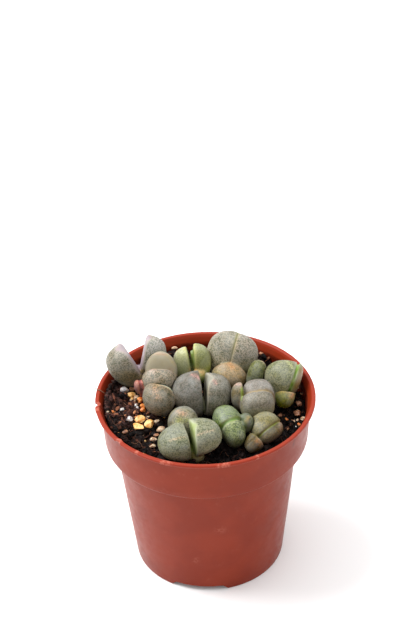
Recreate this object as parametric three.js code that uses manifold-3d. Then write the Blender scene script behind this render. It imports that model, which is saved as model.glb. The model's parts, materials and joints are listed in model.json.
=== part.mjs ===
// A small plastic nursery pot filled with potting soil, in which a dozen young split rock plants
// grow close together. Each plant is a head of thick, half-egg leaves in a pair that faces across
// a cleft, often with a shorter old leaf at the end of the cleft. Quartz grit lies on the soil.
// Millimetres, +Z up, origin on the pot's axis at the level of its feet, -Y towards the viewer.
import * as THREE from "three";
import { mergeVertices } from "three/addons/utils/BufferGeometryUtils.js";
import Module from "manifold-3d";

const wasm = await Module();
wasm.setup();

// Driving dimensions of the pot
const RIM_R = 27.5;
const POT_H = 48;
const WALL = 0.8;
const BASE_R = 19.2;
const BODY_TOP_R = 23.2;
const COLLAR_BOTTOM_Z = 36.2;
const COLLAR_BOTTOM_R = 25.6;
const COLLAR_TOP_R = 26.3;
const COLLAR_EDGE = 0.3;
const SHOULDER_DROP = 0.9;
const LEDGE_STEP = 0.4;
const LIP_T = 0.7;
const LIP_W = 1.0;
const LIP_EDGE = 0.2;
const LIP_INNER_DROP = 2.2;
const LIP_FLARE = 0.6;
const FLARE_DROP = 0.9;
const FOOT_EDGE = 0.15;
const FLOOR_Z = 1.5;
const NOTCH_COUNT = 3;
const NOTCH_H = 1.4;
const NOTCH_FOOT_DEG = 42;
const NOTCH_ROOF_DEG = 35;
const NOTCH_CENTRE_DEG = -99.5;
const DRAIN_R = 2.3;
const DRAIN_RING_R = 11.5;
const DRAIN_SIDES = 16;
const POT_SIDES = 48;

// Driving dimensions of the soil
const SEAT_GAP = 0.3;
const SOCKET_GAP = 0.6;
const SOIL_Z = 42.6;
const SOIL_CORNER = 1.2;
const SOIL_SIDES = 36;
const SOIL_RINGS = 10;
// Broad rises and dips of the soil's surface: place, radius and height
const SOIL_MOUNDS = [
  { x: -19, y: -3, spread: 9, rise: 1.9 },
  { x: -13, y: -15, spread: 8, rise: 1.0 },
  { x: -8, y: 21, spread: 4.2, rise: 3.0 },
  { x: 14.5, y: 19, spread: 3.6, rise: 3.2 },
  { x: -20, y: 11, spread: 6, rise: 1.6 },
  { x: -23, y: -8, spread: 5, rise: 1.2 },
  { x: -25, y: 3, spread: 4, rise: 1.3 },
  { x: -19, y: -18, spread: 4, rise: 1.3 },
  { x: 4, y: -20, spread: 9, rise: -1.5 },
  { x: 22, y: -2, spread: 8, rise: -0.9 },
];
const SOIL_LUMP = 0.35;

const POT_COLOUR = 0xa34f3c;
const SOIL_COLOUR = 0x2b1f19;
const RAD = Math.PI / 180;

// Resolution of a leaf: rings along it, points round its outer side and points across its inner face
const LEAF_DETAIL = { rings: 8, arc: 8, face: 2 };
const SOCKET_DETAIL = { rings: 4, arc: 6, face: 1 };

// A leaf is widest at LEAF_MID of its height, and goes LEAF_SINK of its height below the cleft
const LEAF_MID = 0.42;
const LEAF_SINK = 0.42;
// How far a leaf's tip and its side edges lie from its inner face, as shares of its thickness
const TIP_INSET = 0.12;
const RIM_INSET = 0.12;
// How the inner face curls back to the tip: 1 is as round as an egg, 2 stays flat for longer
const TIP_CURL = 2;
// How round a leaf's outer side is, and its part below the widest place: 1 is an ellipse, less is
// squarer and more is leaner
const LEAF_FULL = 0.85;
const LEAF_TAPER = 1.1;
// How deep a leaf's inner face is dished, where below 0 is crowned
const LEAF_DISH = 0.3;
// Half the width of the slit between two leaves that stand face to face
const CLEFT = 0.16;
// A head's neck: its radius as a share of the widest leaf, its foot's radius as a share of that, and
// how far it goes below the soil's level
const NECK_SHARE = 0.26;
const NECK_TAPER = 0.6;
const NECK_DEPTH = 2.5;
const NECK_SIDES = 10;

// A geometry as a solid, and back
function solidOf(geometry) {
  const plain = geometry.index ? geometry.toNonIndexed() : geometry.clone();
  plain.deleteAttribute("normal");
  plain.deleteAttribute("uv");
  const merged = mergeVertices(plain, 1e-4);
  return new wasm.Manifold(
    new wasm.Mesh({
      numProp: 3,
      vertProperties: merged.attributes.position.array,
      triVerts: new Uint32Array(merged.index.array),
    }),
  );
}

function geometryOf(solid) {
  const mesh = solid.getMesh();
  const geometry = new THREE.BufferGeometry();
  geometry.setAttribute("position", new THREE.BufferAttribute(mesh.vertProperties, 3));
  geometry.setIndex(new THREE.BufferAttribute(mesh.triVerts, 1));
  geometry.computeVertexNormals();
  return geometry;
}

// The largest of the bodies of a solid
function mainBody(solid) {
  const bodies = solid.decompose();
  return bodies.reduce((best, body) => (body.volume() > best.volume() ? body : best));
}

// A closed skin from rings of equally many points between a bottom point and a top point
function skinOf(rings, bottom, top) {
  const around = rings[0].length;
  const vertices = [...rings.flat(2), ...bottom, ...top];
  const low = rings.length * around;
  const index = [];
  for (let i = 0; i < around; i++) {
    const next = (i + 1) % around;
    index.push(low, next, i);
    for (let ring = 0; ring < rings.length - 1; ring++) {
      const a = ring * around;
      const b = a + around;
      index.push(a + i, a + next, b + next, a + i, b + next, b + i);
    }
    const last = (rings.length - 1) * around;
    index.push(last + i, last + next, low + 1);
  }
  const geometry = new THREE.BufferGeometry();
  geometry.setAttribute("position", new THREE.Float32BufferAttribute(vertices, 3));
  return geometry.setIndex(index);
}

// A repeatable random number source
function randomSource(seed) {
  let state = seed >>> 0;
  return () => {
    state = (Math.imul(state, 1664525) + 1013904223) >>> 0;
    return state / 4294967296;
  };
}

// A surface of revolution about Z, from [radius, height] points that run up its outside
function turned(profile, sides) {
  const points = profile.map(([r, z]) => new THREE.Vector2(r, z));
  return new THREE.LatheGeometry(points, sides).rotateX(Math.PI / 2);
}

// The pot's outer radius at a height of its tapered body, below the collar
function bodyRadius(z) {
  return BASE_R + ((BODY_TOP_R - BASE_R) * z) / COLLAR_BOTTOM_Z;
}

// The inner radius at a height anywhere above the floor
function innerRadius(z) {
  const step = COLLAR_BOTTOM_Z - SHOULDER_DROP + WALL;
  if (z < step) return bodyRadius(z) - WALL;
  const share = Math.max(0, (z - COLLAR_BOTTOM_Z) / (POT_H - COLLAR_BOTTOM_Z));
  return COLLAR_BOTTOM_R + (COLLAR_TOP_R - COLLAR_BOTTOM_R) * share - WALL;
}

function potProfile() {
  const shoulder = COLLAR_BOTTOM_Z - SHOULDER_DROP;
  const lipUnder = POT_H - LIP_T;
  const ledge = COLLAR_BOTTOM_Z + LEDGE_STEP;
  const corner = FLOOR_Z + 2 * WALL;
  return [
    [0, FLOOR_Z],
    [BASE_R - WALL, FLOOR_Z],
    [BASE_R - WALL, 0],
    [BASE_R - FOOT_EDGE, 0],
    [BASE_R, FOOT_EDGE],
    [bodyRadius(shoulder), shoulder],
    [COLLAR_BOTTOM_R - COLLAR_EDGE, COLLAR_BOTTOM_Z - COLLAR_EDGE],
    [COLLAR_BOTTOM_R, COLLAR_BOTTOM_Z],
    [COLLAR_TOP_R, lipUnder - FLARE_DROP],
    [COLLAR_TOP_R + LIP_FLARE, lipUnder],
    [RIM_R - LIP_EDGE, lipUnder],
    [RIM_R, lipUnder + LIP_EDGE],
    [RIM_R, POT_H - LIP_EDGE],
    [RIM_R - LIP_EDGE, POT_H],
    [RIM_R - LIP_W, POT_H],
    [innerRadius(POT_H - LIP_INNER_DROP), POT_H - LIP_INNER_DROP],
    [innerRadius(ledge), ledge],
    [innerRadius(ledge) - LEDGE_STEP, shoulder + WALL],
    [bodyRadius(shoulder) - WALL, shoulder + LEDGE_STEP],
    [bodyRadius(corner) - WALL, corner],
    [bodyRadius(FLOOR_Z) - 2 * WALL, FLOOR_Z + WALL],
    [0, FLOOR_Z + WALL],
  ];
}

// The gap between two feet: a wedge through the standing ring, wider at the foot than at its roof
function notchCutter(centreDeg) {
  const inner = BASE_R - 3 * WALL;
  const outer = BASE_R + 2;
  const below = -1;
  const slope = (NOTCH_FOOT_DEG - NOTCH_ROOF_DEG) / NOTCH_H;
  const half = (z) => BASE_R * Math.tan(((NOTCH_FOOT_DEG - slope * z) / 2) * RAD);
  const section = (r) => [
    [r, -half(below), below],
    [r, half(below), below],
    [r, half(NOTCH_H), NOTCH_H],
    [r, -half(NOTCH_H), NOTCH_H],
  ];
  const middle = (r) => [r, 0, 0];
  const wedge = skinOf([section(inner), section(outer)], middle(inner), middle(outer));
  return solidOf(wedge.rotateZ(centreDeg * RAD));
}

function drainCutter(x, y) {
  const hole = new THREE.CylinderGeometry(DRAIN_R, DRAIN_R, 4 * WALL, DRAIN_SIDES);
  return solidOf(hole.rotateX(Math.PI / 2).translate(x, y, FLOOR_Z + WALL / 2));
}

function pot() {
  let solid = solidOf(turned(potProfile(), POT_SIDES));
  for (let i = 0; i < NOTCH_COUNT; i++) {
    const turn = NOTCH_CENTRE_DEG + (360 / NOTCH_COUNT) * i;
    const drain = [DRAIN_RING_R * Math.cos(turn * RAD), DRAIN_RING_R * Math.sin(turn * RAD)];
    solid = solid.subtract(notchCutter(turn)).subtract(drainCutter(...drain));
  }
  return solid.subtract(drainCutter(0, 0));
}

// A leaf is half a rounded egg: a nearly flat inner face near the plane x = 0 and a domed outer side
// towards +x. It is widest part way up, and its tip lies a little way in from the inner face, which
// curls back to it. Below z = 0 it narrows into the body that the leaves of a head share.
// grow makes it larger all round.
function leafGeometry(leaf, detail, grow) {
  const { width, thick, height, sink = LEAF_SINK, full = LEAF_FULL } = leaf;
  const { tip = TIP_INSET, rim: edge = RIM_INSET, curl = TIP_CURL, dish = LEAF_DISH } = leaf;
  const mid = height * LEAF_MID;
  const up = height - mid + grow;
  const down = mid + height * sink + grow;
  const inset = thick * tip;
  const rings = [];
  for (let ring = 1; ring <= detail.rings; ring++) {
    const angle = (-90 + (180 * ring) / (detail.rings + 1)) * RAD;
    const power = angle > 0 ? full : LEAF_TAPER;
    const rise = Math.abs(Math.sin(angle)) ** power;
    const z = mid + (angle > 0 ? up * rise : -down * rise);
    const size = Math.cos(angle) ** power;
    const half = (width / 2 + grow) * size;
    const bend = inset * (1 - size) ** curl;
    const face = CLEFT + bend - grow;
    const rim = thick * edge * size;
    const deep = (thick + 2 * grow) * size + inset * (1 - size) - bend;
    const points = [];
    for (let i = 0; i < detail.arc; i++) {
      const turn = (-90 + (180 * i) / (detail.arc - 1)) * RAD;
      const side = Math.sign(turn) * Math.abs(Math.sin(turn)) ** full;
      const out = Math.max(0, Math.cos(turn)) ** full;
      points.push([face + rim + (deep - rim) * out, half * side, z]);
    }
    for (let i = 1; i <= detail.face; i++) {
      const side = 1 - (2 * i) / (detail.face + 1);
      const deepen = dish * (1 - side * side) * size;
      points.push([face + deepen + rim * side ** 4, half * side, z]);
    }
    rings.push(points);
  }
  const end = CLEFT + inset - grow;
  return skinOf(rings, [end, 0, mid - down], [end, 0, mid + up]);
}

// The root neck under a head, down into the soil
function neckGeometry(radius, depth, grow) {
  const profile = [
    [0, -depth - grow],
    [radius * NECK_TAPER + grow, -depth - grow],
    [radius + grow, 0],
    [0, radius / 2],
  ];
  return turned(profile, NECK_SIDES);
}

// The plants, in the viewer's picture from left to right and from the back to the front.
// at is the bottom of the cleft. A head tilts by tilt degrees towards the compass direction toward,
// where 0 is +X and 90 is +Y, and is pressed in by the heads that it yields to. Each leaf stands on
// the side that turn names, moved out, along its inner face and up, and leans outwards by lean.
const HEADS = [
  {
    name: "head_wide_open",
    colour: 0x9aa091,
    at: [-16.9, 10.8, 48.7],
    tilt: 0,
    toward: 0,
    leaves: [
      { turn: 201, lean: 24, out: -0.9, width: 8.2, thick: 7.0, height: 9.7, tip: 0.4 },
      { turn: -4, lean: 12, along: 0.9, width: 7.0, thick: 6.2, height: 10.0, tip: 0.3 },
    ],
  },
  {
    name: "head_back_left",
    colour: 0x9aa082,
    at: [-11.0, 5.4, 46.9],
    tilt: 4,
    toward: -90,
    yields: ["head_left", "head_centre", "head_pink", "head_wide_open"],
    leaves: [
      { turn: 86, lean: 12, width: 8.2, thick: 3.2, height: 9.6, full: 1, tip: 0.3, rim: 0.25 },
      { turn: -96, lean: 8, width: 9.4, thick: 4.2, height: 7.8 },
    ],
  },
  {
    name: "head_left",
    colour: 0x8f957f,
    at: [-10.8, -0.8, 47.0],
    tilt: 4,
    toward: -120,
    yields: ["head_centre"],
    leaves: [
      { turn: -112, lean: 6, width: 8.2, thick: 5.0, height: 7.0, tip: 0.06, rim: 0.06 },
      { turn: 68, lean: 3, width: 6.4, thick: 1.4, height: 5.0 },
    ],
  },
  {
    name: "head_centre",
    colour: 0x8c9089,
    at: [-0.7, 0.8, 45.0],
    tilt: 0,
    toward: 0,
    leaves: [
      { turn: 186, lean: 0, width: 10.0, thick: 7.4, height: 8.8, tip: 0.14, rim: 0.06 },
      { turn: 3, lean: 5, width: 10.0, thick: 6.8, height: 7.9, tip: 0.34, rim: 0.07 },
    ],
  },
  {
    name: "head_front",
    colour: 0x9fac92,
    at: [-4.0, -15.4, 43.6],
    tilt: 6,
    toward: -90,
    leaves: [
      {
        turn: 195, lean: 1, out: 0.55,
        width: 9.6, thick: 7.3, height: 7.2, sink: 0.25, tip: 0.06, rim: 0.06,
      },
      { turn: 14, lean: 1, width: 9.4, thick: 7.6, height: 7.8, sink: 0.12, tip: 0.24, rim: 0.06 },
      {
        turn: 108, lean: 2, out: 2.5, raise: 0.8,
        width: 7.6, thick: 5.6, height: 7.4, tip: 0.6, rim: 0.4, curl: 1, dish: -1.2,
      },
      { turn: -46, lean: 0, out: 1.2, raise: -2.2, width: 3.6, thick: 2.6, height: 3.0 },
    ],
  },
  {
    name: "head_green",
    colour: 0x84a070,
    at: [5.8, -10.2, 43.7],
    tilt: 18,
    toward: -80,
    yields: ["head_square", "head_front"],
    leaves: [
      { turn: 114, lean: 0, width: 7.2, thick: 6.2, height: 6.4, tip: 0.08, rim: 0.06 },
      { turn: -66, lean: 1, along: 0.1, width: 5.5, thick: 5.0, height: 6.1, tip: 0.08, rim: 0.06 },
      {
        turn: 18, lean: 8, out: 1.5, raise: 1.0,
        width: 4.6, thick: 3.8, height: 5.0, sink: 0.1, tip: 0.5, rim: 0.4, curl: 1,
      },
    ],
  },
  {
    name: "head_round",
    colour: 0x8f9873,
    at: [14.8, -10.2, 43.0],
    tilt: 28,
    toward: -60,
    yields: ["head_green", "head_square"],
    leaves: [
      { turn: 131, lean: 0, width: 8.0, thick: 5.1, height: 5.2, tip: 0.08, rim: 0.05 },
      { turn: -49, lean: 0, width: 7.4, thick: 2.6, height: 5.0, sink: 0.2, tip: 0.08, rim: 0.05 },
      { turn: 228, lean: 16, out: 3.1, along: -0.3, raise: 0.6, width: 4.6, thick: 4.0, height: 4.2 },
    ],
  },
  {
    name: "head_square",
    colour: 0x9d9c94,
    at: [12.9, -3.2, 44.2],
    tilt: 4,
    toward: -90,
    leaves: [
      {
        turn: 96, lean: 0, along: -0.5,
        width: 8.0, thick: 6.5, height: 7.7, full: 0.66, tip: 0.02, rim: 0.03,
      },
      {
        turn: -84, lean: 0, along: -0.2,
        width: 8.6, thick: 3.9, height: 7.6, full: 0.7, sink: 0.12, tip: 0.04, rim: 0.03,
      },
      {
        turn: 184, lean: 4, out: 2.6, along: -2.2, raise: 0.6,
        width: 5.6, thick: 3.4, height: 7.6, sink: 0.1, rim: 0.3,
      },
    ],
  },
  {
    name: "head_tall_grey",
    colour: 0x9a9f8d,
    at: [6.5, 15.2, 45.4],
    tilt: 12,
    toward: 0,
    yields: ["head_lime"],
    leaves: [
      { turn: 168, lean: 0, width: 9.2, thick: 6.6, height: 10.0, tip: 0.02, rim: 0.02 },
      { turn: -12, lean: 0, width: 9.2, thick: 6.4, height: 9.8, tip: 0.02, rim: 0.02 },
      {
        turn: -98, lean: 10, out: 3.2, along: 0.3, raise: -1.2,
        width: 9.2, thick: 5, height: 6, sink: 0.2, full: 0.95, rim: 0.3,
      },
    ],
  },
  {
    name: "head_lime",
    colour: 0x9db46c,
    at: [-2.9, 12.6, 45.4],
    tilt: 2,
    toward: -90,
    leaves: [
      { turn: 188, lean: 7, width: 5.6, thick: 4.4, height: 8.6, tip: 0.2, rim: 0.15 },
      { turn: -4, lean: -1, width: 5.8, thick: 4.7, height: 9.2, tip: 0.15, rim: 0.2 },
      { turn: -58, lean: 10, out: 1.6, raise: 0.2, width: 4.4, thick: 3.0, height: 3.8, sink: 0.1 },
    ],
  },
  {
    name: "head_slim",
    colour: 0x94a56b,
    at: [12.7, 8.5, 43.7],
    tilt: 14,
    toward: 30,
    yields: ["head_right"],
    leaves: [
      { turn: -110, lean: 2, width: 5.0, thick: 3.4, height: 8.3, tip: 0.06, rim: 0.06 },
      { turn: 70, lean: 2, width: 4.4, thick: 1.6, height: 6.0 },
    ],
  },
  {
    name: "head_right",
    colour: 0x8fa87e,
    at: [21.0, 5.2, 44.4],
    tilt: 18,
    toward: 10,
    leaves: [
      { turn: 168, lean: 0, width: 7.8, thick: 7.2, height: 8.4, full: 1, rim: 0.05 },
      { turn: -12, lean: 0, width: 7.0, thick: 2.0, height: 8.4, sink: 0.15 },
      {
        turn: -84, lean: 42, out: 1.8, along: -2.0,
        width: 4.8, thick: 3.8, height: 5.4, sink: 0.3, rim: 0.06,
      },
    ],
  },
  {
    name: "head_pink",
    colour: 0xb07a80,
    at: [-15.9, 3.5, 47.9],
    tilt: 0,
    toward: 0,
    leaves: [
      { turn: 190, lean: 5, width: 2.5, thick: 1.6, height: 2.9, tip: 0.3, rim: 0.3 },
      { turn: 10, lean: 3, width: 2.7, thick: 1.6, height: 3.2, tip: 0.3, rim: 0.3 },
    ],
  },
];

// The turn of a head about the level axis that lies across its tilt
function headTurn({ tilt, toward }) {
  const axis = new THREE.Vector3(-Math.sin(toward * RAD), Math.cos(toward * RAD), 0);
  return new THREE.Quaternion().setFromAxisAngle(axis, tilt * RAD);
}

function headMatrix(plant) {
  const place = new THREE.Vector3(...plant.at);
  return new THREE.Matrix4().compose(place, headTurn(plant), new THREE.Vector3(1, 1, 1));
}

// A leaf's frame within its head
function leafMatrix({ turn, lean, out = 0, along = 0, raise = 0 }) {
  const matrix = new THREE.Matrix4().makeRotationZ(turn * RAD);
  matrix.multiply(new THREE.Matrix4().makeTranslation(out, along, raise));
  return matrix.multiply(new THREE.Matrix4().makeRotationY(lean * RAD));
}

// A head within the given frame: its leaves, joined below by the neck
function head(plant, frame, detail, grow) {
  const widest = Math.max(...plant.leaves.map((leaf) => leaf.width));
  const depth = Math.max(0, plant.at[2] - SOIL_Z) + NECK_DEPTH;
  const neck = neckGeometry(widest * NECK_SHARE, depth, grow);
  let solid = solidOf(neck.applyMatrix4(frame));
  for (const leaf of plant.leaves) {
    const matrix = frame.clone().multiply(leafMatrix(leaf));
    solid = solid.add(solidOf(leafGeometry(leaf, detail, grow).applyMatrix4(matrix)));
  }
  return solid;
}

// The soil's height: broad mounds, and small lumps as a sum of crossed waves
function soilHeight(x, y) {
  let z = SOIL_Z;
  for (const mound of SOIL_MOUNDS) {
    const away = Math.hypot(x - mound.x, y - mound.y) / mound.spread;
    z += mound.rise * Math.exp(-away * away);
  }
  const broad = Math.sin(1.3 * x + 0.7 * y) * Math.cos(1.1 * y - 0.4 * x);
  const small = Math.sin(2.3 * x - 1.9 * y) * 0.5;
  return z + SOIL_LUMP * (broad + small);
}

// The soil fills the pot up to its uneven surface
function soilBody() {
  const inside = (z) => innerRadius(z) - SEAT_GAP;
  const floor = FLOOR_Z + WALL + SEAT_GAP;
  const step = COLLAR_BOTTOM_Z - SHOULDER_DROP;
  const ledge = COLLAR_BOTTOM_Z + 2;
  const round = (radius, height) => {
    const points = [];
    for (let i = 0; i < SOIL_SIDES; i++) {
      const turn = (2 * Math.PI * i) / SOIL_SIDES;
      const [x, y] = [radius * Math.cos(turn), radius * Math.sin(turn)];
      points.push([x, y, height ?? soilHeight(x, y)]);
    }
    return points;
  };
  const rings = [
    round(inside(floor + SOIL_CORNER) - SOIL_CORNER, floor),
    round(inside(floor + SOIL_CORNER), floor + SOIL_CORNER),
    round(inside(step), step),
    round(inside(step), COLLAR_BOTTOM_Z + WALL + SEAT_GAP),
    round(inside(ledge), ledge),
  ];
  for (let ring = SOIL_RINGS; ring > 0; ring--) {
    rings.push(round((inside(SOIL_Z) * ring) / SOIL_RINGS));
  }
  return solidOf(skinOf(rings, [0, 0, floor], [0, 0, soilHeight(0, 0)]));
}

// The larger grains of grit on the soil: place, length, width and colour of each
const GRIT = [
  { x: -24.0, y: 2.0, long: 2.0, wide: 1.8, turn: 60, colour: 0xe3b26a },
  { x: -20.4, y: 6.5, long: 2.3, wide: 2.0, turn: 20, colour: 0xd3cdc4 },
  { x: -18.4, y: 7.2, long: 1.7, wide: 1.1, turn: -15, colour: 0x9c7256 },
  { x: -18.7, y: 5.2, long: 2.2, wide: 1.7, turn: 10, colour: 0xe2bd83 },
  { x: -17.4, y: 3.7, long: 1.6, wide: 1.4, turn: 70, colour: 0xd9a878 },
  { x: -16.4, y: 2.1, long: 2.0, wide: 1.6, turn: 40, colour: 0xd9924a },
  { x: -15.8, y: 0.3, long: 1.5, wide: 1.3, turn: -40, colour: 0xe08a2e },
  { x: -16.4, y: -5.9, long: 3.0, wide: 2.2, turn: 5, colour: 0xe6ba78 },
  { x: -18.9, y: -6.8, long: 1.8, wide: 1.6, turn: 30, colour: 0xd0ccc8 },
  { x: -16.8, y: -9.0, long: 3.4, wide: 2.2, turn: -35, colour: 0xe2b374 },
  { x: -14.0, y: -7.6, long: 2.8, wide: 2.4, turn: 45, colour: 0xe8bb7c },
  { x: -12.2, y: -6.2, long: 1.5, wide: 1.3, turn: 80, colour: 0xcdbfa8 },
  { x: -11.2, y: -8.9, long: 2.3, wide: 1.8, turn: 25, colour: 0xd3a08a },
  { x: -12.4, y: -11.2, long: 1.5, wide: 1.1, turn: 0, colour: 0xa8795a },
  { x: -13.1, y: -13.5, long: 2.0, wide: 1.1, turn: -10, colour: 0xc7a98c },
  { x: -13.2, y: -15.2, long: 1.5, wide: 1.2, turn: 15, colour: 0xcfbfa6 },
  { x: -20.8, y: -1.4, long: 1.6, wide: 1.0, turn: 35, colour: 0xd8d2c8 },
  { x: -23.2, y: -2.4, long: 1.5, wide: 1.0, turn: -20, colour: 0xcf8f5c },
  { x: 22.9, y: -2.0, long: 2.4, wide: 1.9, turn: -60, colour: 0xb9844c },
  { x: 24.1, y: -4.1, long: 1.5, wide: 1.1, turn: 60, colour: 0xbba58c },
  { x: 18.4, y: -2.6, long: 1.3, wide: 1.1, turn: 20, colour: 0x8f6a4c },
  { x: 14.8, y: 19.0, long: 1.7, wide: 0.9, turn: -40, colour: 0x9a5a38 },
  { x: -7.6, y: 22.8, long: 1.6, wide: 1.1, turn: 10, colour: 0xc9ad8e },
  { x: -15.6, y: -1.4, long: 1.6, wide: 1.3, turn: 30, colour: 0xd88a3c },
  { x: -20.0, y: -10.6, long: 1.6, wide: 1.2, turn: 10, colour: 0x8f6a4c },
  { x: 23.4, y: 1.4, long: 1.9, wide: 1.5, turn: -70, colour: 0xa87c5a },
];
// A grain's height as a share of its width, and how far it lies above the soil's mean surface
const GRIT_TALL = 0.8;
const GRIT_LIFT = 0.65;

// A grain about its own middle: a seeded, slightly irregular stone
function grain({ long, wide }, seed) {
  const random = randomSource(seed);
  const stone = new THREE.IcosahedronGeometry(1, 1);
  const merged = mergeVertices(stone.deleteAttribute("normal").deleteAttribute("uv"), 1e-4);
  const place = merged.attributes.position;
  for (let i = 0; i < place.count; i++) {
    const swell = 0.88 + 0.2 * random();
    place.setXYZ(i, place.getX(i) * swell, place.getY(i) * swell, place.getZ(i) * swell);
  }
  return solidOf(merged.scale(long / 2, wide / 2, (wide * GRIT_TALL) / 2));
}

const model = new THREE.Group();

function addNode(name, solid, colour, roughness) {
  const material = new THREE.MeshStandardMaterial({ color: colour, roughness, metalness: 0 });
  const mesh = new THREE.Mesh(geometryOf(solid), material);
  mesh.name = name;
  model.add(mesh);
  return mesh;
}

addNode("pot", pot(), POT_COLOUR, 0.35);

let soil = soilBody();
for (const plant of HEADS) {
  let own = head(plant, new THREE.Matrix4(), LEAF_DETAIL, 0);
  for (const neighbour of HEADS.filter(({ name }) => plant.yields?.includes(name))) {
    const frame = headMatrix(plant).invert().multiply(headMatrix(neighbour));
    own = own.subtract(head(neighbour, frame, LEAF_DETAIL, SEAT_GAP));
  }
  const mesh = addNode(plant.name, mainBody(own), plant.colour, 0.6);
  mesh.position.set(...plant.at);
  mesh.quaternion.copy(headTurn(plant));
  soil = soil.subtract(head(plant, headMatrix(plant), SOCKET_DETAIL, SOCKET_GAP));
}
GRIT.forEach((stone, i) => {
  const { x, y, wide, turn, colour } = stone;
  const mesh = addNode(`grit_${i + 1}`, grain(stone, i + 1), colour, 0.7);
  mesh.position.set(x, y, soilHeight(x, y) + (wide * GRIT_TALL) / 2 + GRIT_LIFT);
  mesh.rotation.z = turn * RAD;
});
addNode("soil", mainBody(soil), SOIL_COLOUR, 0.95);

export default model;
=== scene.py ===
"""The looks of a potted split rock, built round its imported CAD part.

Tables and shapes are in millimetres in the part's frame: +Z up, -Y towards the viewer, the origin
on the pot's axis at the level of its feet. Meshes turn into metres when a piece is made.
"""

import json
import math

import bmesh
import bpy
import numpy as np
from mathutils import Matrix, Vector, noise
from mathutils.kdtree import KDTree


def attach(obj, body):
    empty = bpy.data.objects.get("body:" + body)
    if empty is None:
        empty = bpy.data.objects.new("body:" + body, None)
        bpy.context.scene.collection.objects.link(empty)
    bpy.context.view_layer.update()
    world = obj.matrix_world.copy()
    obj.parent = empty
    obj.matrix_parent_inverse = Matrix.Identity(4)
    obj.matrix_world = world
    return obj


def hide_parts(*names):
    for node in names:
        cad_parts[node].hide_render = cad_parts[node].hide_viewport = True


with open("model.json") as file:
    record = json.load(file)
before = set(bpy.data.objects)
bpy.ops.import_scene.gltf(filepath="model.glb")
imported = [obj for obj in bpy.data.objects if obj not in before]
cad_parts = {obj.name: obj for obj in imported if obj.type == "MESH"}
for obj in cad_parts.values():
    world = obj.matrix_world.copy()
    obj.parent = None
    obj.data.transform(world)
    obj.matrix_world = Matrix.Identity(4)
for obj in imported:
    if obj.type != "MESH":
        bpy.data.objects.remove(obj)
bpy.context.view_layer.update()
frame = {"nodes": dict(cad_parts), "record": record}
slots = {part["node"]: part["material_slot"] for part in frame["record"]["subparts"]}
MM = 0.001

# The pot's own measures
RIM_R, POT_H, WALL = 27.5, 48.0, 0.8
BASE_R, BODY_TOP_R = 19.2, 23.2
COLLAR_Z, COLLAR_R, COLLAR_TOP_R = 36.2, 25.6, 26.3
SHOULDER_DROP, LEDGE_STEP = 0.9, 0.4
LIP_T, LIP_W, LIP_DROP = 0.7, 1.0, 2.2
LIP_FLARE, FLARE_DROP = 0.6, 0.9
FLOOR_Z = 1.5
NOTCH_COUNT, NOTCH_H, NOTCH_DEG = 3, 1.4, -99.5
NOTCH_FOOT_DEG, NOTCH_ROOF_DEG = 42, 35
DRAIN_R, DRAIN_RING_R = 2.3, 11.5

# The soil's surface: its level, and mounds as place, radius and height
SOIL_Z = 42.6
SOIL_GAP = 0.3
MOUNDS = [
    (-19, -3, 9, 1.9), (-13, -15, 8, 1.0), (-8, 21, 4.2, 3.0), (14.5, 19, 3.6, 3.2),
    (-20, 11, 6, 1.6), (-23, -8, 5, 1.2), (-25, 3, 4, 1.3), (-19, -18, 4, 1.3),
    (4, -20, 9, -1.5), (22, -2, 8, -0.9),
]
SOIL_LUMP = 0.35

# The form of a leaf and of a head's neck, as in the CAD source
LEAF_MID, LEAF_SINK, LEAF_FULL, LEAF_TAPER = 0.42, 0.42, 0.85, 1.1
TIP_INSET, RIM_INSET, TIP_CURL, LEAF_DISH, CLEFT = 0.12, 0.12, 2, 0.3, 0.16
NECK_SHARE, NECK_TAPER, NECK_DEPTH = 0.26, 0.6, 2.5
# Half the thickness of the web that closes a cleft
WEB_HALF = 0.5
# How finely leaves are drawn: rings, and points round their outer and inner sides, then the
# voxels that join them; coarse for a neighbour that only presses in, and how often all is eased
FINE, VOXEL = (60, 56, 24), 0.185
COARSE, COARSE_VOXEL = (22, 22, 9), 0.3
SOFT = 9


def leaf(turn, lean, width, thick, height, out=0, along=0, lift=0, **form):
    return {
        "turn": turn, "lean": lean, "width": width, "thick": thick, "height": height,
        "out": out, "along": along, "lift": lift, **form,
    }


def tones(skin, foot, edge, inner, inner_foot, rim, dots=1.0, inner_dots=0.0):
    """A leaf's colours, and how strong the dots are on its skin and on its inner face."""
    return {"tones": (skin, foot, edge, inner, inner_foot, rim), "dots": (dots, inner_dots)}


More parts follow.
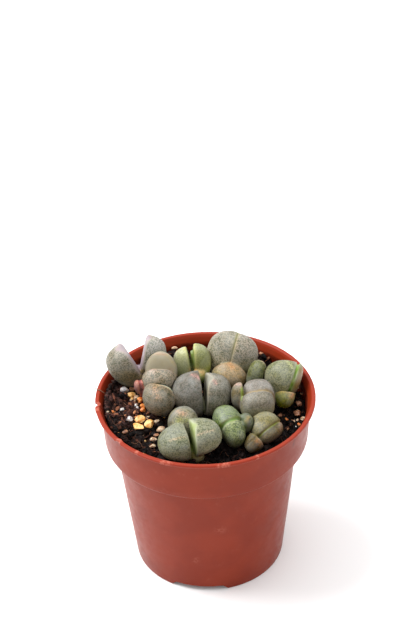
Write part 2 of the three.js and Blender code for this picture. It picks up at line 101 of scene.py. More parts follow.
# Each head: the bottom of its cleft, its tilt and the direction of that, the heads that press it
# in, how closed its cleft is, and its leaves
HEADS = {
    "head_wide_open": {
        "at": (-16.9, 10.8, 48.7), "tilt": (0, 0), "soft": 24,
        "leaves": [
            leaf(201, 24, 8.2, 7.0, 9.7, out=-0.9, tip=0.4),
            leaf(-4, 12, 7.0, 6.2, 10.0, along=0.9, tip=0.3),
        ],
    },
    "head_back_left": {
        "at": (-11.0, 5.4, 46.9), "tilt": (4, -90),
        "yields": ["head_left", "head_centre", "head_pink", "head_wide_open"],
        "leaves": [
            leaf(86, 12, 8.2, 3.2, 9.6, full=1, tip=0.3, rim=0.25),
            leaf(-96, 8, 9.4, 4.2, 7.8),
        ],
    },
    "head_left": {
        "at": (-10.8, -0.8, 47.0), "tilt": (4, -120), "yields": ["head_centre"], "closed": 0.97,
        "leaves": [
            leaf(-112, 6, 8.2, 5.0, 7.0, tip=0.06, rim=0.06),
            leaf(68, 3, 6.4, 1.4, 5.0),
        ],
    },
    "head_centre": {
        "at": (-0.7, 0.8, 45.0), "tilt": (0, 0), "soft": 36,
        "leaves": [
            leaf(186, 0, 10.0, 7.4, 8.8, tip=0.14, rim=0.06),
            leaf(3, 5, 10.0, 6.8, 7.9, tip=0.34, rim=0.07),
        ],
    },
    "head_front": {
        "at": (-4.0, -15.4, 43.6), "tilt": (6, -90), "soft": 30,
        "leaves": [
            leaf(195, 1, 9.6, 7.3, 7.2, out=0.55, sink=0.25, tip=0.06, rim=0.06, gap=0.1),
            leaf(14, 1, 9.4, 7.6, 7.8, sink=0.12, tip=0.24, rim=0.06, gap=0.1),
            leaf(108, 2, 7.6, 5.6, 7.4, out=2.5, lift=0.8, tip=0.6, rim=0.4, curl=1, dish=-1.2),
            leaf(-46, 0, 3.6, 2.6, 3.0, out=1.2, lift=-2.2),
        ],
    },
    "head_green": {
        "at": (5.8, -10.2, 43.7), "tilt": (18, -80), "yields": ["head_square", "head_front"],
        "closed": 0.97,
        "leaves": [
            leaf(114, 0, 7.2, 6.2, 6.4, tip=0.08, rim=0.06, gap=0.05),
            leaf(-66, 1, 5.5, 5.0, 6.1, along=0.1, tip=0.08, rim=0.06, gap=0.05),
            leaf(18, 8, 4.6, 3.8, 5.0, out=1.5, lift=1.0, sink=0.1, tip=0.5, rim=0.4, curl=1),
        ],
    },
    "head_round": {
        "at": (14.8, -10.2, 43.0), "tilt": (28, -60), "yields": ["head_green", "head_square"],
        "closed": 0.97,
        "leaves": [
            leaf(131, 0, 8.0, 5.1, 5.2, tip=0.08, rim=0.05, gap=0.05),
            leaf(-49, 0, 7.4, 2.6, 5.0, sink=0.2, tip=0.08, rim=0.05, gap=0.05),
            leaf(228, 16, 4.6, 4.0, 4.2, out=3.1, along=-0.3, lift=0.6),
        ],
    },
    "head_square": {
        "at": (12.9, -3.2, 44.2), "tilt": (4, -90), "closed": 0.985,
        "leaves": [
            leaf(96, 0, 8.0, 6.5, 7.7, along=-0.5, full=0.66, tip=0.02, rim=0.03, gap=0.05),
            leaf(-84, 0, 8.6, 3.9, 7.6, along=-0.2, full=0.7, sink=0.12, tip=0.04, rim=0.03,
                 gap=0.05),
            leaf(184, 4, 5.6, 3.4, 7.6, out=2.6, along=-2.2, lift=0.6, sink=0.1, rim=0.3),
        ],
    },
    "head_tall_grey": {
        "at": (6.5, 15.2, 45.4), "tilt": (12, 0), "yields": ["head_lime"], "closed": 0.985,
        "leaves": [
            leaf(168, 0, 9.2, 6.6, 10.0, tip=0.02, rim=0.02, gap=0.05),
            leaf(-12, 0, 9.2, 6.4, 9.8, tip=0.02, rim=0.02, gap=0.05),
            leaf(-98, 10, 9.2, 5, 6, out=3.2, along=0.3, lift=-1.2, sink=0.2, full=0.95, rim=0.3),
        ],
    },
    "head_lime": {
        "at": (-2.9, 12.6, 45.4), "tilt": (2, -90), "closed": 0.74, "soft": 24,
        "leaves": [
            leaf(188, 7, 5.6, 4.4, 8.6, tip=0.2, rim=0.15, gap=0.05),
            leaf(-4, -1, 5.8, 4.7, 9.2, tip=0.15, rim=0.2, gap=0.05),
            leaf(-58, 10, 4.4, 3.0, 3.8, out=1.6, lift=0.2, sink=0.1),
        ],
    },
    "head_slim": {
        "at": (12.7, 8.5, 43.7), "tilt": (14, 30), "yields": ["head_right"], "closed": 0.97,
        "leaves": [
            leaf(-110, 2, 5.0, 3.4, 8.3, tip=0.06, rim=0.06),
            leaf(70, 2, 4.4, 1.6, 6.0),
        ],
    },
    "head_right": {
        "at": (21.0, 5.2, 44.4), "tilt": (18, 10), "closed": 0.93,
        "leaves": [
            leaf(168, 0, 7.8, 7.2, 8.4, full=1, rim=0.05, gap=0.06),
            leaf(-12, 0, 7.0, 2.0, 8.4, sink=0.15, gap=0.06),
            leaf(-84, 42, 4.8, 3.8, 5.4, out=1.8, along=-2.0, sink=0.3, rim=0.06),
        ],
    },
    "head_pink": {
        "at": (-15.9, 3.5, 47.9), "tilt": (0, 0), "closed": 0.9, "soft": 6,
        "leaves": [
            leaf(190, 5, 2.5, 1.6, 2.9, tip=0.3, rim=0.3),
            leaf(10, 3, 2.7, 1.6, 3.2, tip=0.3, rim=0.3),
        ],
    },
}

# The colours of each leaf, as 0-255 sRGB: its skin, the skin near its foot, paler in part as
# painted light on the lower side, the edge of its outer side, its inner face and that face's foot
# and rim, greener in part as a painted glow of light through the leaf, then how strong the dots are
PAINT = {
    "head_wide_open": [
        tones((130, 120, 102), (122, 111, 77), (149, 137, 129),
              (146, 132, 136), (142, 124, 132), (148, 130, 130)),
        tones((158, 150, 142), (137, 132, 114), (153, 144, 130),
              (146, 132, 136), (142, 124, 132), (148, 130, 130)),
    ],
    "head_back_left": [
        tones((171, 165, 135), (149, 144, 107), (139, 127, 96),
              (180, 170, 142), (160, 157, 117), (128, 116, 101)),
        tones((139, 123, 101), (121, 113, 89), (112, 94, 72),
              (149, 139, 107), (131, 122, 87), (138, 124, 96)),
    ],
    "head_left": [
        tones((113, 100, 76), (141, 121, 98), (137, 114, 85),
              (171, 147, 93), (148, 128, 75), (174, 143, 100)),
        tones((114, 127, 116), (100, 111, 97), (142, 147, 118),
              (133, 147, 118), (116, 127, 97), (151, 157, 128)),
    ],
    "head_centre": [
        tones((96, 89, 79), (150, 139, 124), (84, 76, 62),
              (92, 85, 72), (71, 70, 50), (83, 75, 60)),
        tones((112, 104, 89), (174, 162, 139), (129, 117, 99),
              (108, 104, 86), (140, 140, 100), (141, 137, 115)),
    ],
    "head_front": [
        tones((110, 111, 83), (171, 172, 130), (113, 111, 81),
              (100, 108, 56), (96, 112, 20), (108, 106, 78)),
        tones((126, 126, 96), (194, 194, 150), (136, 138, 109),
              (138, 150, 90), (112, 128, 26), (148, 152, 120)),
        tones((113, 105, 77), (97, 104, 53), (97, 93, 75),
              (115, 106, 74), (82, 88, 34), (107, 103, 75), inner_dots=1.0),
        tones((116, 103, 22), (93, 76, 14), (110, 104, 22),
              (107, 96, 20), (87, 73, 14), (116, 103, 22), dots=0.4),
    ],
    "head_green": [
        tones((94, 109, 48), (75, 94, 32), (84, 94, 38),
              (113, 131, 41), (48, 68, 9), (103, 119, 45)),
        tones((116, 126, 75), (83, 91, 53), (130, 137, 92),
              (107, 119, 46), (68, 81, 22), (110, 116, 59)),
        tones((81, 90, 36), (68, 81, 25), (54, 56, 20),
              (51, 68, 9), (40, 55, 8), (59, 64, 18)),
    ],
    "head_round": [
        tones((116, 106, 54), (103, 83, 43), (85, 76, 32),
              (94, 91, 25), (70, 71, 12), (101, 89, 41), dots=0.85),
        tones((111, 97, 49), (91, 71, 38), (62, 54, 23),
              (73, 74, 14), (53, 57, 7), (48, 46, 9), dots=0.85),
        tones((86, 69, 13), (95, 81, 20), (99, 86, 38),
              (98, 102, 14), (72, 79, 8), (76, 68, 14), dots=0.85),
    ],
    "head_square": [
        tones((115, 105, 96), (96, 95, 72), (102, 87, 63),
              (108, 88, 57), (85, 72, 41), (110, 92, 63), dots=0.8),
        tones((118, 109, 93), (151, 141, 88), (110, 103, 95),
              (116, 96, 58), (91, 79, 45), (110, 93, 63), dots=0.8),
        tones((107, 93, 62), (77, 66, 43), (111, 86, 51),
              (115, 115, 34), (93, 97, 27), (90, 77, 30)),
    ],
    "head_tall_grey": [
        tones((133, 124, 105), (205, 191, 163), (145, 138, 114),
              (139, 127, 57), (119, 110, 43), (139, 135, 73)),
        tones((144, 132, 116), (129, 121, 83), (153, 139, 107),
              (133, 123, 55), (116, 106, 41), (108, 104, 51)),
        tones((152, 123, 77), (134, 105, 61), (144, 115, 77),
              (133, 110, 51), (115, 94, 38), (139, 113, 67), dots=0.7),
    ],
    "head_lime": [
        tones((164, 164, 118), (206, 212, 152), (167, 166, 101),
              (104, 122, 40), (106, 129, 34), (160, 156, 80), dots=0.5),
        tones((137, 140, 82), (177, 180, 84), (167, 167, 102),
              (104, 122, 40), (101, 121, 32), (160, 156, 80), dots=0.6),
        tones((131, 141, 70), (95, 116, 50), (149, 144, 71),
              (110, 134, 51), (88, 117, 41), (124, 134, 61), dots=0.4),
    ],
    "head_slim": [
        tones((99, 101, 44), (71, 72, 29), (119, 108, 61),
              (95, 102, 42), (82, 91, 29), (127, 109, 59)),
        tones((140, 158, 94), (120, 142, 70), (176, 164, 120),
              (140, 158, 94), (120, 142, 70), (176, 164, 120)),
    ],
    "head_right": [
        tones((118, 118, 77), (138, 131, 100), (118, 117, 92),
              (133, 154, 57), (87, 118, 23), (149, 148, 130)),
        tones((139, 114, 73), (116, 98, 47), (102, 104, 56),
              (106, 113, 26), (76, 92, 9), (87, 84, 47), dots=0.3),
        tones((106, 105, 3), (149, 160, 3), (126, 106, 3),
              (122, 110, 3), (95, 87, 3), (94, 76, 3), dots=0.7),
    ],
    "head_pink": [
        tones((139, 75, 62), (101, 28, 38), (163, 100, 78),
              (122, 55, 53), (95, 22, 35), (157, 83, 74), dots=0.1),
        tones((207, 144, 115), (156, 62, 72), (216, 166, 126),
              (193, 117, 103), (147, 54, 69), (216, 153, 119), dots=0.1),
    ],
}

# How the painted colours of a leaf run into each other: where those of the foot begin and where
# they are full, from -1 at the foot to 1 at the tip, and how far in mm those of the edges reach
FOOT_FADE, INNER_FADE = (0.4, -0.3), (0.3, -0.5)
EDGE_REACH, RIM_REACH = 0.6, 0.4
# How much the skin is mottled, and how strongly seams are coloured
MOTTLE, SEAM_SHARE = 0.07, 0.9

# Marks on the leaves of each head: the line they follow, their half-width, their colour and how
# strong they are
MARKS = {
    "head_wide_open": [
        # Where the leaves meet
        ([(-16.2, 7.2, 49.2), (-15.9, 8.3, 49.9)], 0.8, (168, 142, 62), 0.7),
        # A bead of wax in the cleft
        ([(-16.5, 11.6, 49.4), (-16.5, 11.6, 49.4)], 0.25, (228, 216, 196), 0.8),
        # The left leaf's tip
        ([(-22.9, 9.7, 57.0), (-21.1, 9.8, 57.5)], 0.6, (156, 124, 98), 0.45),
    ],
    "head_back_left": [
        # The front leaf's top
        ([(-12.9, 2.9, 54.1), (-8.3, 6.3, 51.4)], 0.8, (182, 146, 128), 0.5),
        # The back leaf's top
        ([(-12.3, 7.5, 56.0), (-9.4, 7.1, 55.8)], 0.35, (184, 138, 102), 0.6),
        # Its right edge
        ([(-9.1, 7.0, 55.6), (-7.2, 6.7, 52.6)], 0.4, (190, 166, 98), 0.55),
    ],
    "head_left": [
        # A sunburnt streak
        ([(-12.4, -3.3, 53.5), (-11.7, -5.8, 52.0)], 0.9, (190, 132, 84), 0.42),
        # The top edge
        ([(-11.7, -2.8, 53.7), (-9.0, -1.0, 51.6)], 0.35, (184, 152, 98), 0.45),
    ],
    "head_centre": [
        # The left leaf's tip
        ([(-3.0, 1.2, 53.7), (-1.5, -0.2, 53.5)], 0.7, (202, 138, 128), 0.5),
        # The right leaf's tip
        ([(2.4, 0.0, 52.6), (2.6, -0.9, 52.3)], 0.45, (206, 132, 118), 0.6),
    ],
    "head_front": [
        # A smudge on the old leaf
        ([(-6.6, -11.3, 52.1), (-5.2, -12.2, 51.8)], 0.7, (206, 140, 98), 0.5),
        # The old leaf's foot
        ([(-7.2, -13.4, 50.7), (-4.5, -13.2, 51.0)], 0.8, (138, 142, 56), 0.6),
        # The left leaf's keel, a pale line of painted highlight along its ridge
        ([(-8.8, -19.1, 49.4), (-7.2, -19.0, 49.9), (-5.2, -18.7, 50.0)],
         0.3, (206, 172, 138), 0.5),
        # The right leaf's keel, a pale line of painted highlight along its ridge
        ([(-2.0, -18.6, 50.5), (-0.2, -17.7, 50.6), (1.8, -16.6, 50.2)], 0.3, (208, 174, 140), 0.5),
    ],
    "head_green": [
        # The side leaf's tip
        ([(9.8, -11.6, 48.8), (10.6, -10.5, 49.2)], 0.6, (184, 154, 92), 0.35),
    ],
    "head_round": [
        # The right side
        ([(18.2, -10.2, 46.7), (18.1, -12.0, 46.0)], 0.7, (186, 140, 114), 0.5),
        # The old leaf's end
        ([(12.3, -15.8, 45.6), (13.0, -15.8, 44.9)], 0.7, (196, 132, 84), 0.6),
    ],
    "head_square": [
        # A ring
        ([(13.7, -2.3, 52.0), (13.7, -2.3, 52.0)], 0.42, (84, 80, 70), 0.55),
        # Inside the ring
        ([(13.7, -2.3, 52.0), (13.7, -2.3, 52.0)], 0.2, (168, 160, 148), 0.9),
        # The old leaf's tip
        ([(7.6, -1.0, 51.9), (8.5, -1.7, 52.4)], 0.5, (212, 150, 134), 0.65),
        # The old leaf's edge, green with a painted glow of light through it
        ([(9.0, -3.0, 52.1), (8.9, -4.6, 49.9)], 0.35, (128, 160, 46), 0.75),
    ],
    "head_tall_grey": [
        # A sunburnt spot on the old leaf
        ([(6.6, 9.9, 50.0), (7.1, 9.1, 49.6)], 0.75, (212, 142, 84), 0.5),
        # The old leaf's left end
        ([(2.0, 9.5, 47.9), (3.3, 8.2, 48.5)], 1.2, (138, 134, 66), 0.5),
        # The left leaf's top
        ([(3.4, 16.7, 54.6), (6.2, 16.9, 55.3)], 0.6, (176, 142, 126), 0.35),
    ],
    "head_lime": [
        # The left leaf's edge
        ([(-4.6, 12.8, 53.7), (-3.4, 12.5, 51.7), (-3.2, 9.7, 50.9)], 0.3, (198, 164, 84), 0.45),
        # The old leaf's top
        ([(-3.0, 9.6, 48.7), (-0.5, 8.9, 48.5)], 0.9, (222, 150, 64), 0.55),
    ],
    "head_slim": [
        # The right edge
        ([(14.7, 8.4, 51.7), (15.1, 7.6, 49.1)], 0.4, (200, 166, 130), 0.55),
    ],
    "head_right": [
        # The ridge at the cleft
        ([(20.9, 6.4, 53.0), (22.0, 4.4, 52.5), (21.9, 2.5, 49.5)], 0.4, (208, 208, 150), 0.5),
        # The old leaf's end
        ([(21.4, -1.1, 47.6), (21.7, -0.7, 47.9)], 0.7, (206, 124, 44), 0.65),
    ],
}

# The line where the leaves of a closed head meet: its colour, partly the leaves' own and partly
# painted shade in the crease, and its half-width
SEAMS = {
    "head_left": ((110, 104, 62), 0.16),
    "head_green": ((92, 132, 34), 0.2),
    "head_round": ((112, 120, 38), 0.2),
    "head_square": ((146, 124, 70), 0.15),
    "head_tall_grey": ((98, 96, 44), 0.16),
    "head_lime": ((98, 118, 36), 0.2),
    "head_right": ((104, 140, 24), 0.3),
}
# How deep and how wide the groove along that line is
SEAM_DEPTH, SEAM_WIDTH = 0.12, 0.22

# Torn places in the lip: azimuth and half-width in degrees, and how far it is torn in
LIP_TEARS = [(-175.8, 2.0, 0.55), (-141.9, 2.6, 0.3), (-128.5, 1.2, 0.12), (-64.0, 1.0, 0.1)]
# Flakes that stand out of the lip: azimuth, half-width and height
LIP_FLAKES = [(-171.5, 2.4, 0.12), (-111.0, 3.8, 0.14), (-82.0, 3.8, 0.12)]
# Marks on the outer wall: azimuth, height, half-width and half-height in mm, how strong, and
# whether the plastic is scraped pale there or soiled
WALL_MARKS = [
    (-131.0, 27.7, 2.0, 0.35, 0.5, "scrape"), (-102.0, 28.0, 1.0, 0.4, 0.4, "scrape"),
    (-83.0, 22.5, 1.4, 1.0, 0.2, "scrape"), (-100.5, 11.4, 0.8, 0.4, 0.25, "scrape"),
    (-60.0, 31.0, 1.2, 0.5, 0.25, "scrape"), (-118.0, 36.9, 5.0, 0.2, 0.35, "scrape"),
    (-147.7, 3.0, 0.5, 0.35, 0.9, "smear_and_shade"), (-36.8, 2.3, 0.5, 0.35, 0.9, "smear_and_shade"),
    (-36.0, 44.4, 0.4, 0.3, 1.0, "smear_and_shade"), (-70.0, 18.0, 0.35, 0.3, 0.6, "smear_and_shade"),
]
# How many degrees apart the pot's meridians are, at most and at the marks on its lip
POT_STEP, FINE_STEP = 1.25, 0.4

# How far the pot's wall and its lip wander from round, how finely its section is drawn, and the
# angle over which its edges are shaded sharp
WALL_WANDER, LIP_WANDER, SECTION_STEP, SHARP_DEG = 0.05, 0.035, 1.6, 38

# The soil's brown, and the browns of bark and roots from the commonest to the rarest, with how
# often each is met
PEAT = (40, 24, 22)
BARK = [(60, 34, 26), (96, 56, 42), (134, 84, 60), (172, 116, 82)], [0.42, 0.34, 0.16, 0.08]
ROOT = [(58, 36, 28), (96, 64, 50), (144, 104, 82)], [0.5, 0.35, 0.15]

# What is scattered on the soil: how many of each, and how far from the pot's axis they lie at most
CRUMBS, CRUMB_REACH = 1800, 24.9
CLODS, CLOD_REACH = 150, 23.4
CHIPS, CHIP_REACH = 430, 24.4
FIBRES, FIBRE_REACH = 620, 24.3
GRAIN_REACH = 24.6
# How far loose pieces keep from a plant's middle
STEM_CLEAR = 2.8
# The crumbs heaped against the wall at the left: how many, the azimuths and radii between which
# they lie, and the height of the heap's top
HEAP_COUNT, HEAP_TURN, HEAP_RADIUS, HEAP_TOP = 330, (163, 222), (24.5, 25.05), 47.3

# The fibre that lies over the lip at the left
LIP_FIBRE = [(-24.6, 2.6, 47.2), (-26.2, 3.3, 48.15), (-27.3, 3.8, 48.35), (-28.0, 4.3, 48.3)]

# The paler and the deeper colour of each kind of grit
GRIT_COLOURS = {
    "grit_yellow": ((236, 194, 128), (206, 140, 62)),
    "grit_orange": ((230, 158, 88), (196, 96, 26)),
    "grit_beige": ((206, 184, 156), (160, 122, 92)),
    "grit_white": ((206, 202, 200), (158, 150, 148)),
    "grit_brown": ((168, 118, 84), (104, 62, 40)),
}
# How many flats are broken off a stone
GRIT_FLATS = 7

# How many small grains of each colour are scattered
SCATTERED_GRAINS = {
    "grit_white": 5, "grit_beige": 16, "grit_yellow": 8, "grit_orange": 6, "grit_brown": 16,
}

# Small grains seen in the photograph: place and half-width
PLACED_GRAINS = {
    "grit_white": [(-17.4, 1.0, 0.6), (23.4, 9.2, 0.55), (24.1, -2.5, 0.5), (-20.7, -0.6, 0.5)],
    "grit_beige": [
        (-17.6, 3.6, 0.5), (22.3, 7.9, 0.5), (22.7, -4.2, 0.4), (24.1, 8.6, 0.6),
        (20.4, 18.6, 0.4), (-14.2, -4.5, 0.8),
    ],
    "grit_yellow": [(-10.5, -2.4, 0.5)],
    "grit_orange": [(-15.6, -0.6, 0.6)],
    "grit_brown": [(25.9, 4.3, 0.95), (24.5, 5.8, 0.45)],
}

# Each leaf slot: how dark its dots are, and how rough its skin is
LEAF_LOOKS = {
    "leaf_grey": (0.9, 0.55), "leaf_mauve": (0.85, 0.55), "leaf_pale_green": (0.85, 0.52),
    "leaf_green": (1.0, 0.48), "leaf_olive": (0.9, 0.5), "leaf_lime": (0.75, 0.46),
    "leaf_pink": (0.3, 0.4),
}

# The studio is dim on the viewer's side, and bright above, behind and at the sides: the way to the
# brightest part, the cosines between which it changes, and the light at each
SKY_TOWARDS = (0.0, 0.55, 0.83)
SKY_STEP = (-0.45, 0.75, 0.62, 1.45)
# The lamp, above left: its place and width in metres, and its power
LAMP_AT, LAMP_WIDE, LAMP_POWER = (-0.42, 0.10, 0.75), 0.5, 8.0

# The photograph's camera, fitted to the pot's rim, collar, foot and notches
CAMERA_MM = (0.0, -342.6, 311.75)
YAW, PITCH, ROLL = (math.radians(x) for x in (0.220, -34.838, -1.772))
LENS = 100.0


def linear(colour):
    """A 0-255 sRGB colour as linear light."""
    share = np.asarray(colour, float) / 255
    return np.where(share <= 0.04045, share / 12.92, ((share + 0.055) / 1.055) ** 2.4)


def smooth_step(value, low, high):
    """0 at low, 1 at high, and smooth between."""
    share = np.clip((value - low) / (high - low), 0, 1)
    return share * share * (3 - 2 * share)


def blend(under, over, share):
    """Rows of colours, with the second laid over the first by a share per row."""
    return under + (over - under) * np.asarray(share)[:, None]


def field(points, pitch, octaves=1, shift=0.0):
    """Repeatable noise at points, from about -1 to 1, with lumps of that pitch."""
    offset = Vector((shift, shift * 0.7, -shift))
    return np.array([
        noise.fractal(Vector(point) / pitch + offset, 1.0, 2.0, octaves) for point in points
    ])


class Nodes:
    """A node tree in the making. Pitches are in millimetres."""

    def __init__(self, tree):
        self.tree = tree

    def put(self, node, values):
        for key, value in values.items():
            socket = node.inputs[key]
            if isinstance(value, bpy.types.NodeSocket):
                self.tree.links.new(value, socket)
            else:
                socket.default_value = value

    def add(self, kind, values=None, **settings):
        node = self.tree.nodes.new(kind)
        for key, value in settings.items():
            setattr(node, key, value)
        self.put(node, values or {})
        return node

    def steps(self, value, low, high, first=0.0, last=1.0):
        values = {
            "Value": value, "From Min": low, "From Max": high, "To Min": first, "To Max": last,
        }
        node = self.add("ShaderNodeMapRange", values, interpolation_type="SMOOTHSTEP")
        return node.outputs[0]


class Shader(Nodes):
    """A surface's material in the making."""

    def __init__(self, name, **sockets):
        self.material = bpy.data.materials.new(name)
        self.material.use_nodes = True
        super().__init__(self.material.node_tree)
        self.finish(**sockets)
        self.place = self.add("ShaderNodeTexCoord").outputs["Object"]

    def noise(self, pitch, detail=2.0, roughness=0.5, distortion=0.0):
        values = {
            "Vector": self.place, "Scale": 1 / (pitch * MM), "Detail": detail,
            "Roughness": roughness, "Distortion": distortion,
        }
        return self.add("ShaderNodeTexNoise", values).outputs[0]

    def cells(self, pitch):
        values = {"Vector": self.place, "Scale": 1 / (pitch * MM)}
        return self.add("ShaderNodeTexVoronoi", values, feature="F1").outputs["Distance"]

    def maths(self, kind, first, second):
        return self.add("ShaderNodeMath", {0: first, 1: second}, operation=kind).outputs[0]

    def mix(self, share, under, over, kind="MIX"):
        values = {0: share, 6: under, 7: over}
        node = self.add("ShaderNodeMix", values, data_type="RGBA", blend_type=kind)
        return node.outputs[2]

    def attribute(self, name, output="Fac"):
        return self.add("ShaderNodeAttribute", attribute_name=name).outputs[output]

    def bump(self, height, depth, strength):
        values = {"Height": height, "Distance": depth * MM, "Strength": strength}
        return self.add("ShaderNodeBump", values).outputs[0]

    def finish(self, **values):
        surface = self.tree.nodes["Principled BSDF"]
        self.put(surface, {key.replace("_", " "): value for key, value in values.items()})
        return self.material


def colour4(colour):
    """A 0-255 sRGB colour as a socket takes it."""
    return (*linear(colour), 1.0)


def leaf_material(name, contrast, shine):
    """Leaf skin: painted colours under fine dark dots and worm lines in a pale waxy bloom."""
    shader = Shader(
        name, Subsurface_Weight=0.12, Subsurface_Scale=0.0012, Subsurface_Radius=(1.0, 0.9, 0.45),
        Specular_IOR_Level=0.4,
    )
    paint = shader.attribute("paint", "Color")
    dots = shader.attribute("dots")
    worms = shader.steps(shader.noise(0.34, 1.0, 0.4, 0.8), 0.43, 0.53)
    spots = shader.steps(shader.cells(0.43), 0.14, 0.32)
    pattern = shader.maths("MULTIPLY", worms, spots)
    dark = shader.maths("MULTIPLY", shader.maths("SUBTRACT", 1.0, pattern), dots)
    shade = shader.mix(1.0, paint, (0.26, 0.33, 0.22, 1.0), "MULTIPLY")
    skin = shader.mix(shader.maths("MULTIPLY", dark, contrast), paint, shade)
    bloom = shader.steps(shader.noise(2.6, 3.0), 0.3, 0.7, 0.0, 0.16)
    skin = shader.mix(bloom, skin, (0.6, 0.62, 0.6, 1.0))
    rough = shader.steps(shader.noise(1.4, 3.0), 0.3, 0.7, shine - 0.06, shine + 0.08)
    bump = shader.bump(shader.maths("MULTIPLY", pattern, dots), 0.03, 0.5)
    return shader.finish(Base_Color=skin, Roughness=rough, Normal=bump)


def pot_material():
    """Satin plastic, a little brighter on the thin lip as a painted glow, with faint scuffs,
    scrapes and soil smudges, and painted shade on the inner wall below the lip.
    """
    shader = Shader("pot_plastic", Specular_IOR_Level=0.16)
    height = shader.add("ShaderNodeSeparateXYZ", {0: shader.place}).outputs["Z"]
    broad = shader.steps(shader.noise(11, 3.0, 0.55), 0.35, 0.65)
    body = shader.mix(broad, colour4((120, 37, 14)), colour4((128, 42, 18)))
    # The lip is painted a little brighter: a painted glow of light through the thin plastic
    lip = shader.steps(height, 0.0471, 0.0475)
    body = shader.mix(lip, body, colour4((136, 43, 22)))
    dust = shader.steps(shader.noise(3.0, 8.0, 0.72), 0.56, 0.8)
    body = shader.mix(shader.maths("MULTIPLY", dust, 0.22), body, colour4((160, 92, 74)))
    ragged = shader.steps(shader.noise(0.7, 5.0, 0.65), 0.4, 0.6)
    scrape = shader.maths("MULTIPLY", shader.attribute("scrape"), ragged)
    body = shader.mix(scrape, body, colour4((200, 124, 104)))
    # Dark smudges: soil on the outer wall, and painted shade on the inner wall below the lip
    blotched = shader.steps(shader.noise(1.8, 6.0, 0.65), 0.32, 0.62)
    smear_and_shade = shader.maths("MULTIPLY", shader.attribute("smear_and_shade"), blotched)
    body = shader.mix(smear_and_shade, body, colour4((48, 16, 9)))
    rough = shader.steps(shader.noise(2.2, 6.0, 0.6), 0.3, 0.7, 0.32, 0.44)
    bump = shader.bump(shader.noise(6, 3.0), 0.05, 0.4)
    return shader.finish(Base_Color=body, Roughness=rough, Normal=bump)


def soil_material():
    """Peat: its pieces' own browns, mottled finely, with wet glints."""
    shader = Shader("potting_soil", Specular_IOR_Level=0.14)
    fine = shader.steps(shader.noise(0.4, 6.0, 0.7), 0.32, 0.68, 0.35, 1.6)
    soil = shader.mix(1.0, shader.attribute("shade", "Color"), fine, "MULTIPLY")
    rough = shader.steps(shader.noise(0.6, 4.0), 0.35, 0.65, 0.5, 0.95)
    bump = shader.bump(shader.noise(0.25, 5.0, 0.7), 0.14, 0.9)
    return shader.finish(Base_Color=soil, Roughness=rough, Normal=bump)


def grit_material(name, pale, deep):
    """Quartz: translucent grains with paler and deeper clouds and small dark specks."""
    shader = Shader(
        name, Subsurface_Weight=0.25, Subsurface_Scale=0.0008, Subsurface_Radius=(1.0, 0.7, 0.4),
        Specular_IOR_Level=0.5,
    )
    cloud = shader.steps(shader.noise(0.9, 4.0, 0.6), 0.36, 0.64)
    colour = shader.mix(cloud, colour4(deep), colour4(pale))
    dark_specks = shader.maths("SUBTRACT", 1.0, shader.steps(shader.cells(0.5), 0.1, 0.3))
    colour = shader.mix(dark_specks, colour, colour4([x * 0.6 for x in deep]))
    rough = shader.steps(shader.noise(0.7, 3.0), 0.3, 0.7, 0.3, 0.6)
    bump = shader.bump(shader.noise(0.4, 4.0, 0.6), 0.05, 0.7)
    return shader.finish(Base_Color=colour, Roughness=rough, Normal=bump)


def mesh_of(name, points, faces, scale=1.0):
    """A mesh of that name from points and faces."""
    mesh = bpy.data.meshes.new(name)
    mesh.from_pydata((np.asarray(points, float) * scale).tolist(), [], faces)
    return mesh


def placed(name, data):
    """A new object in the scene that holds that mesh, light or camera."""
    thing = bpy.data.objects.new(name, data)
    bpy.context.scene.collection.objects.link(thing)
    return thing


def make(name, points, faces, material, replaced=(), paints=None):
    """A finished piece of the object, from points in millimetres."""
    mesh = mesh_of(name, points, faces, MM)
    mesh.validate()
    mesh.shade_smooth()
    for key, values in (paints or {}).items():
        kind, field_name = ("FLOAT_COLOR", "color") if np.ndim(values) == 2 else ("FLOAT", "value")
        if kind == "FLOAT_COLOR":
            values = np.hstack([values, np.ones((len(values), 1))])
        data = mesh.attributes.new(key, kind, "POINT").data
        data.foreach_set(field_name, np.asarray(values, np.float32).ravel())
    mesh.materials.append(material)
    piece = placed(name, mesh)
    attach(piece, "root")
    if replaced:
        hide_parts(*replaced)
    return piece


def through(points, faces, kind, **settings):
    """The points and faces of a mesh after a modifier of that kind."""
    worker = placed("worker", mesh_of("worker", points, faces))
    modifier = worker.modifiers.new(kind, kind)
    for key, value in settings.items():
        setattr(modifier, key, value)
    graph = bpy.context.evaluated_depsgraph_get()
    mesh = bpy.data.meshes.new_from_object(worker.evaluated_get(graph))
    found = np.zeros(len(mesh.vertices) * 3)
    mesh.vertices.foreach_get("co", found)
    shown = [tuple(face.vertices) for face in mesh.polygons]
    bpy.data.objects.remove(worker)
    bpy.data.meshes.remove(mesh)
    return found.reshape(-1, 3), shown


def union(points, faces, voxel):
    """One closed skin round closed skins that run into each other."""
    return through(points, faces, "REMESH", mode="VOXEL", voxel_size=voxel, adaptivity=0.0)


def cut_away(points, faces, cutter_points, cutter_faces):
    """What is left of a closed skin outside another."""
    cutter = placed("cutter", mesh_of("cutter", cutter_points, cutter_faces))
    settings = {"operation": "DIFFERENCE", "solver": "EXACT", "object": cutter}
    left = through(points, faces, "BOOLEAN", **settings)
    bpy.data.objects.remove(cutter)
    return left


def edges_of(faces):
    """The edges of faces, each once, as pairs of point numbers."""
    pairs = {(min(a, b), max(a, b)) for face in faces for a, b in zip(face, face[1:] + face[:1])}
    return np.array(sorted(pairs))


def relaxed(points, edges, rounds):
    """Points eased towards their neighbours and back, which evens them without shrinking them."""
    count = np.bincount(edges.ravel(), minlength=len(points))[:, None]
    for step in range(2 * rounds):
        total = np.zeros_like(points)
        for axis in range(3):
            total[:, axis] += np.bincount(edges[:, 0], points[edges[:, 1], axis], len(points))
            total[:, axis] += np.bincount(edges[:, 1], points[edges[:, 0], axis], len(points))
        points = points + (total / count - points) * (0.5 if step % 2 == 0 else -0.51)
    return points


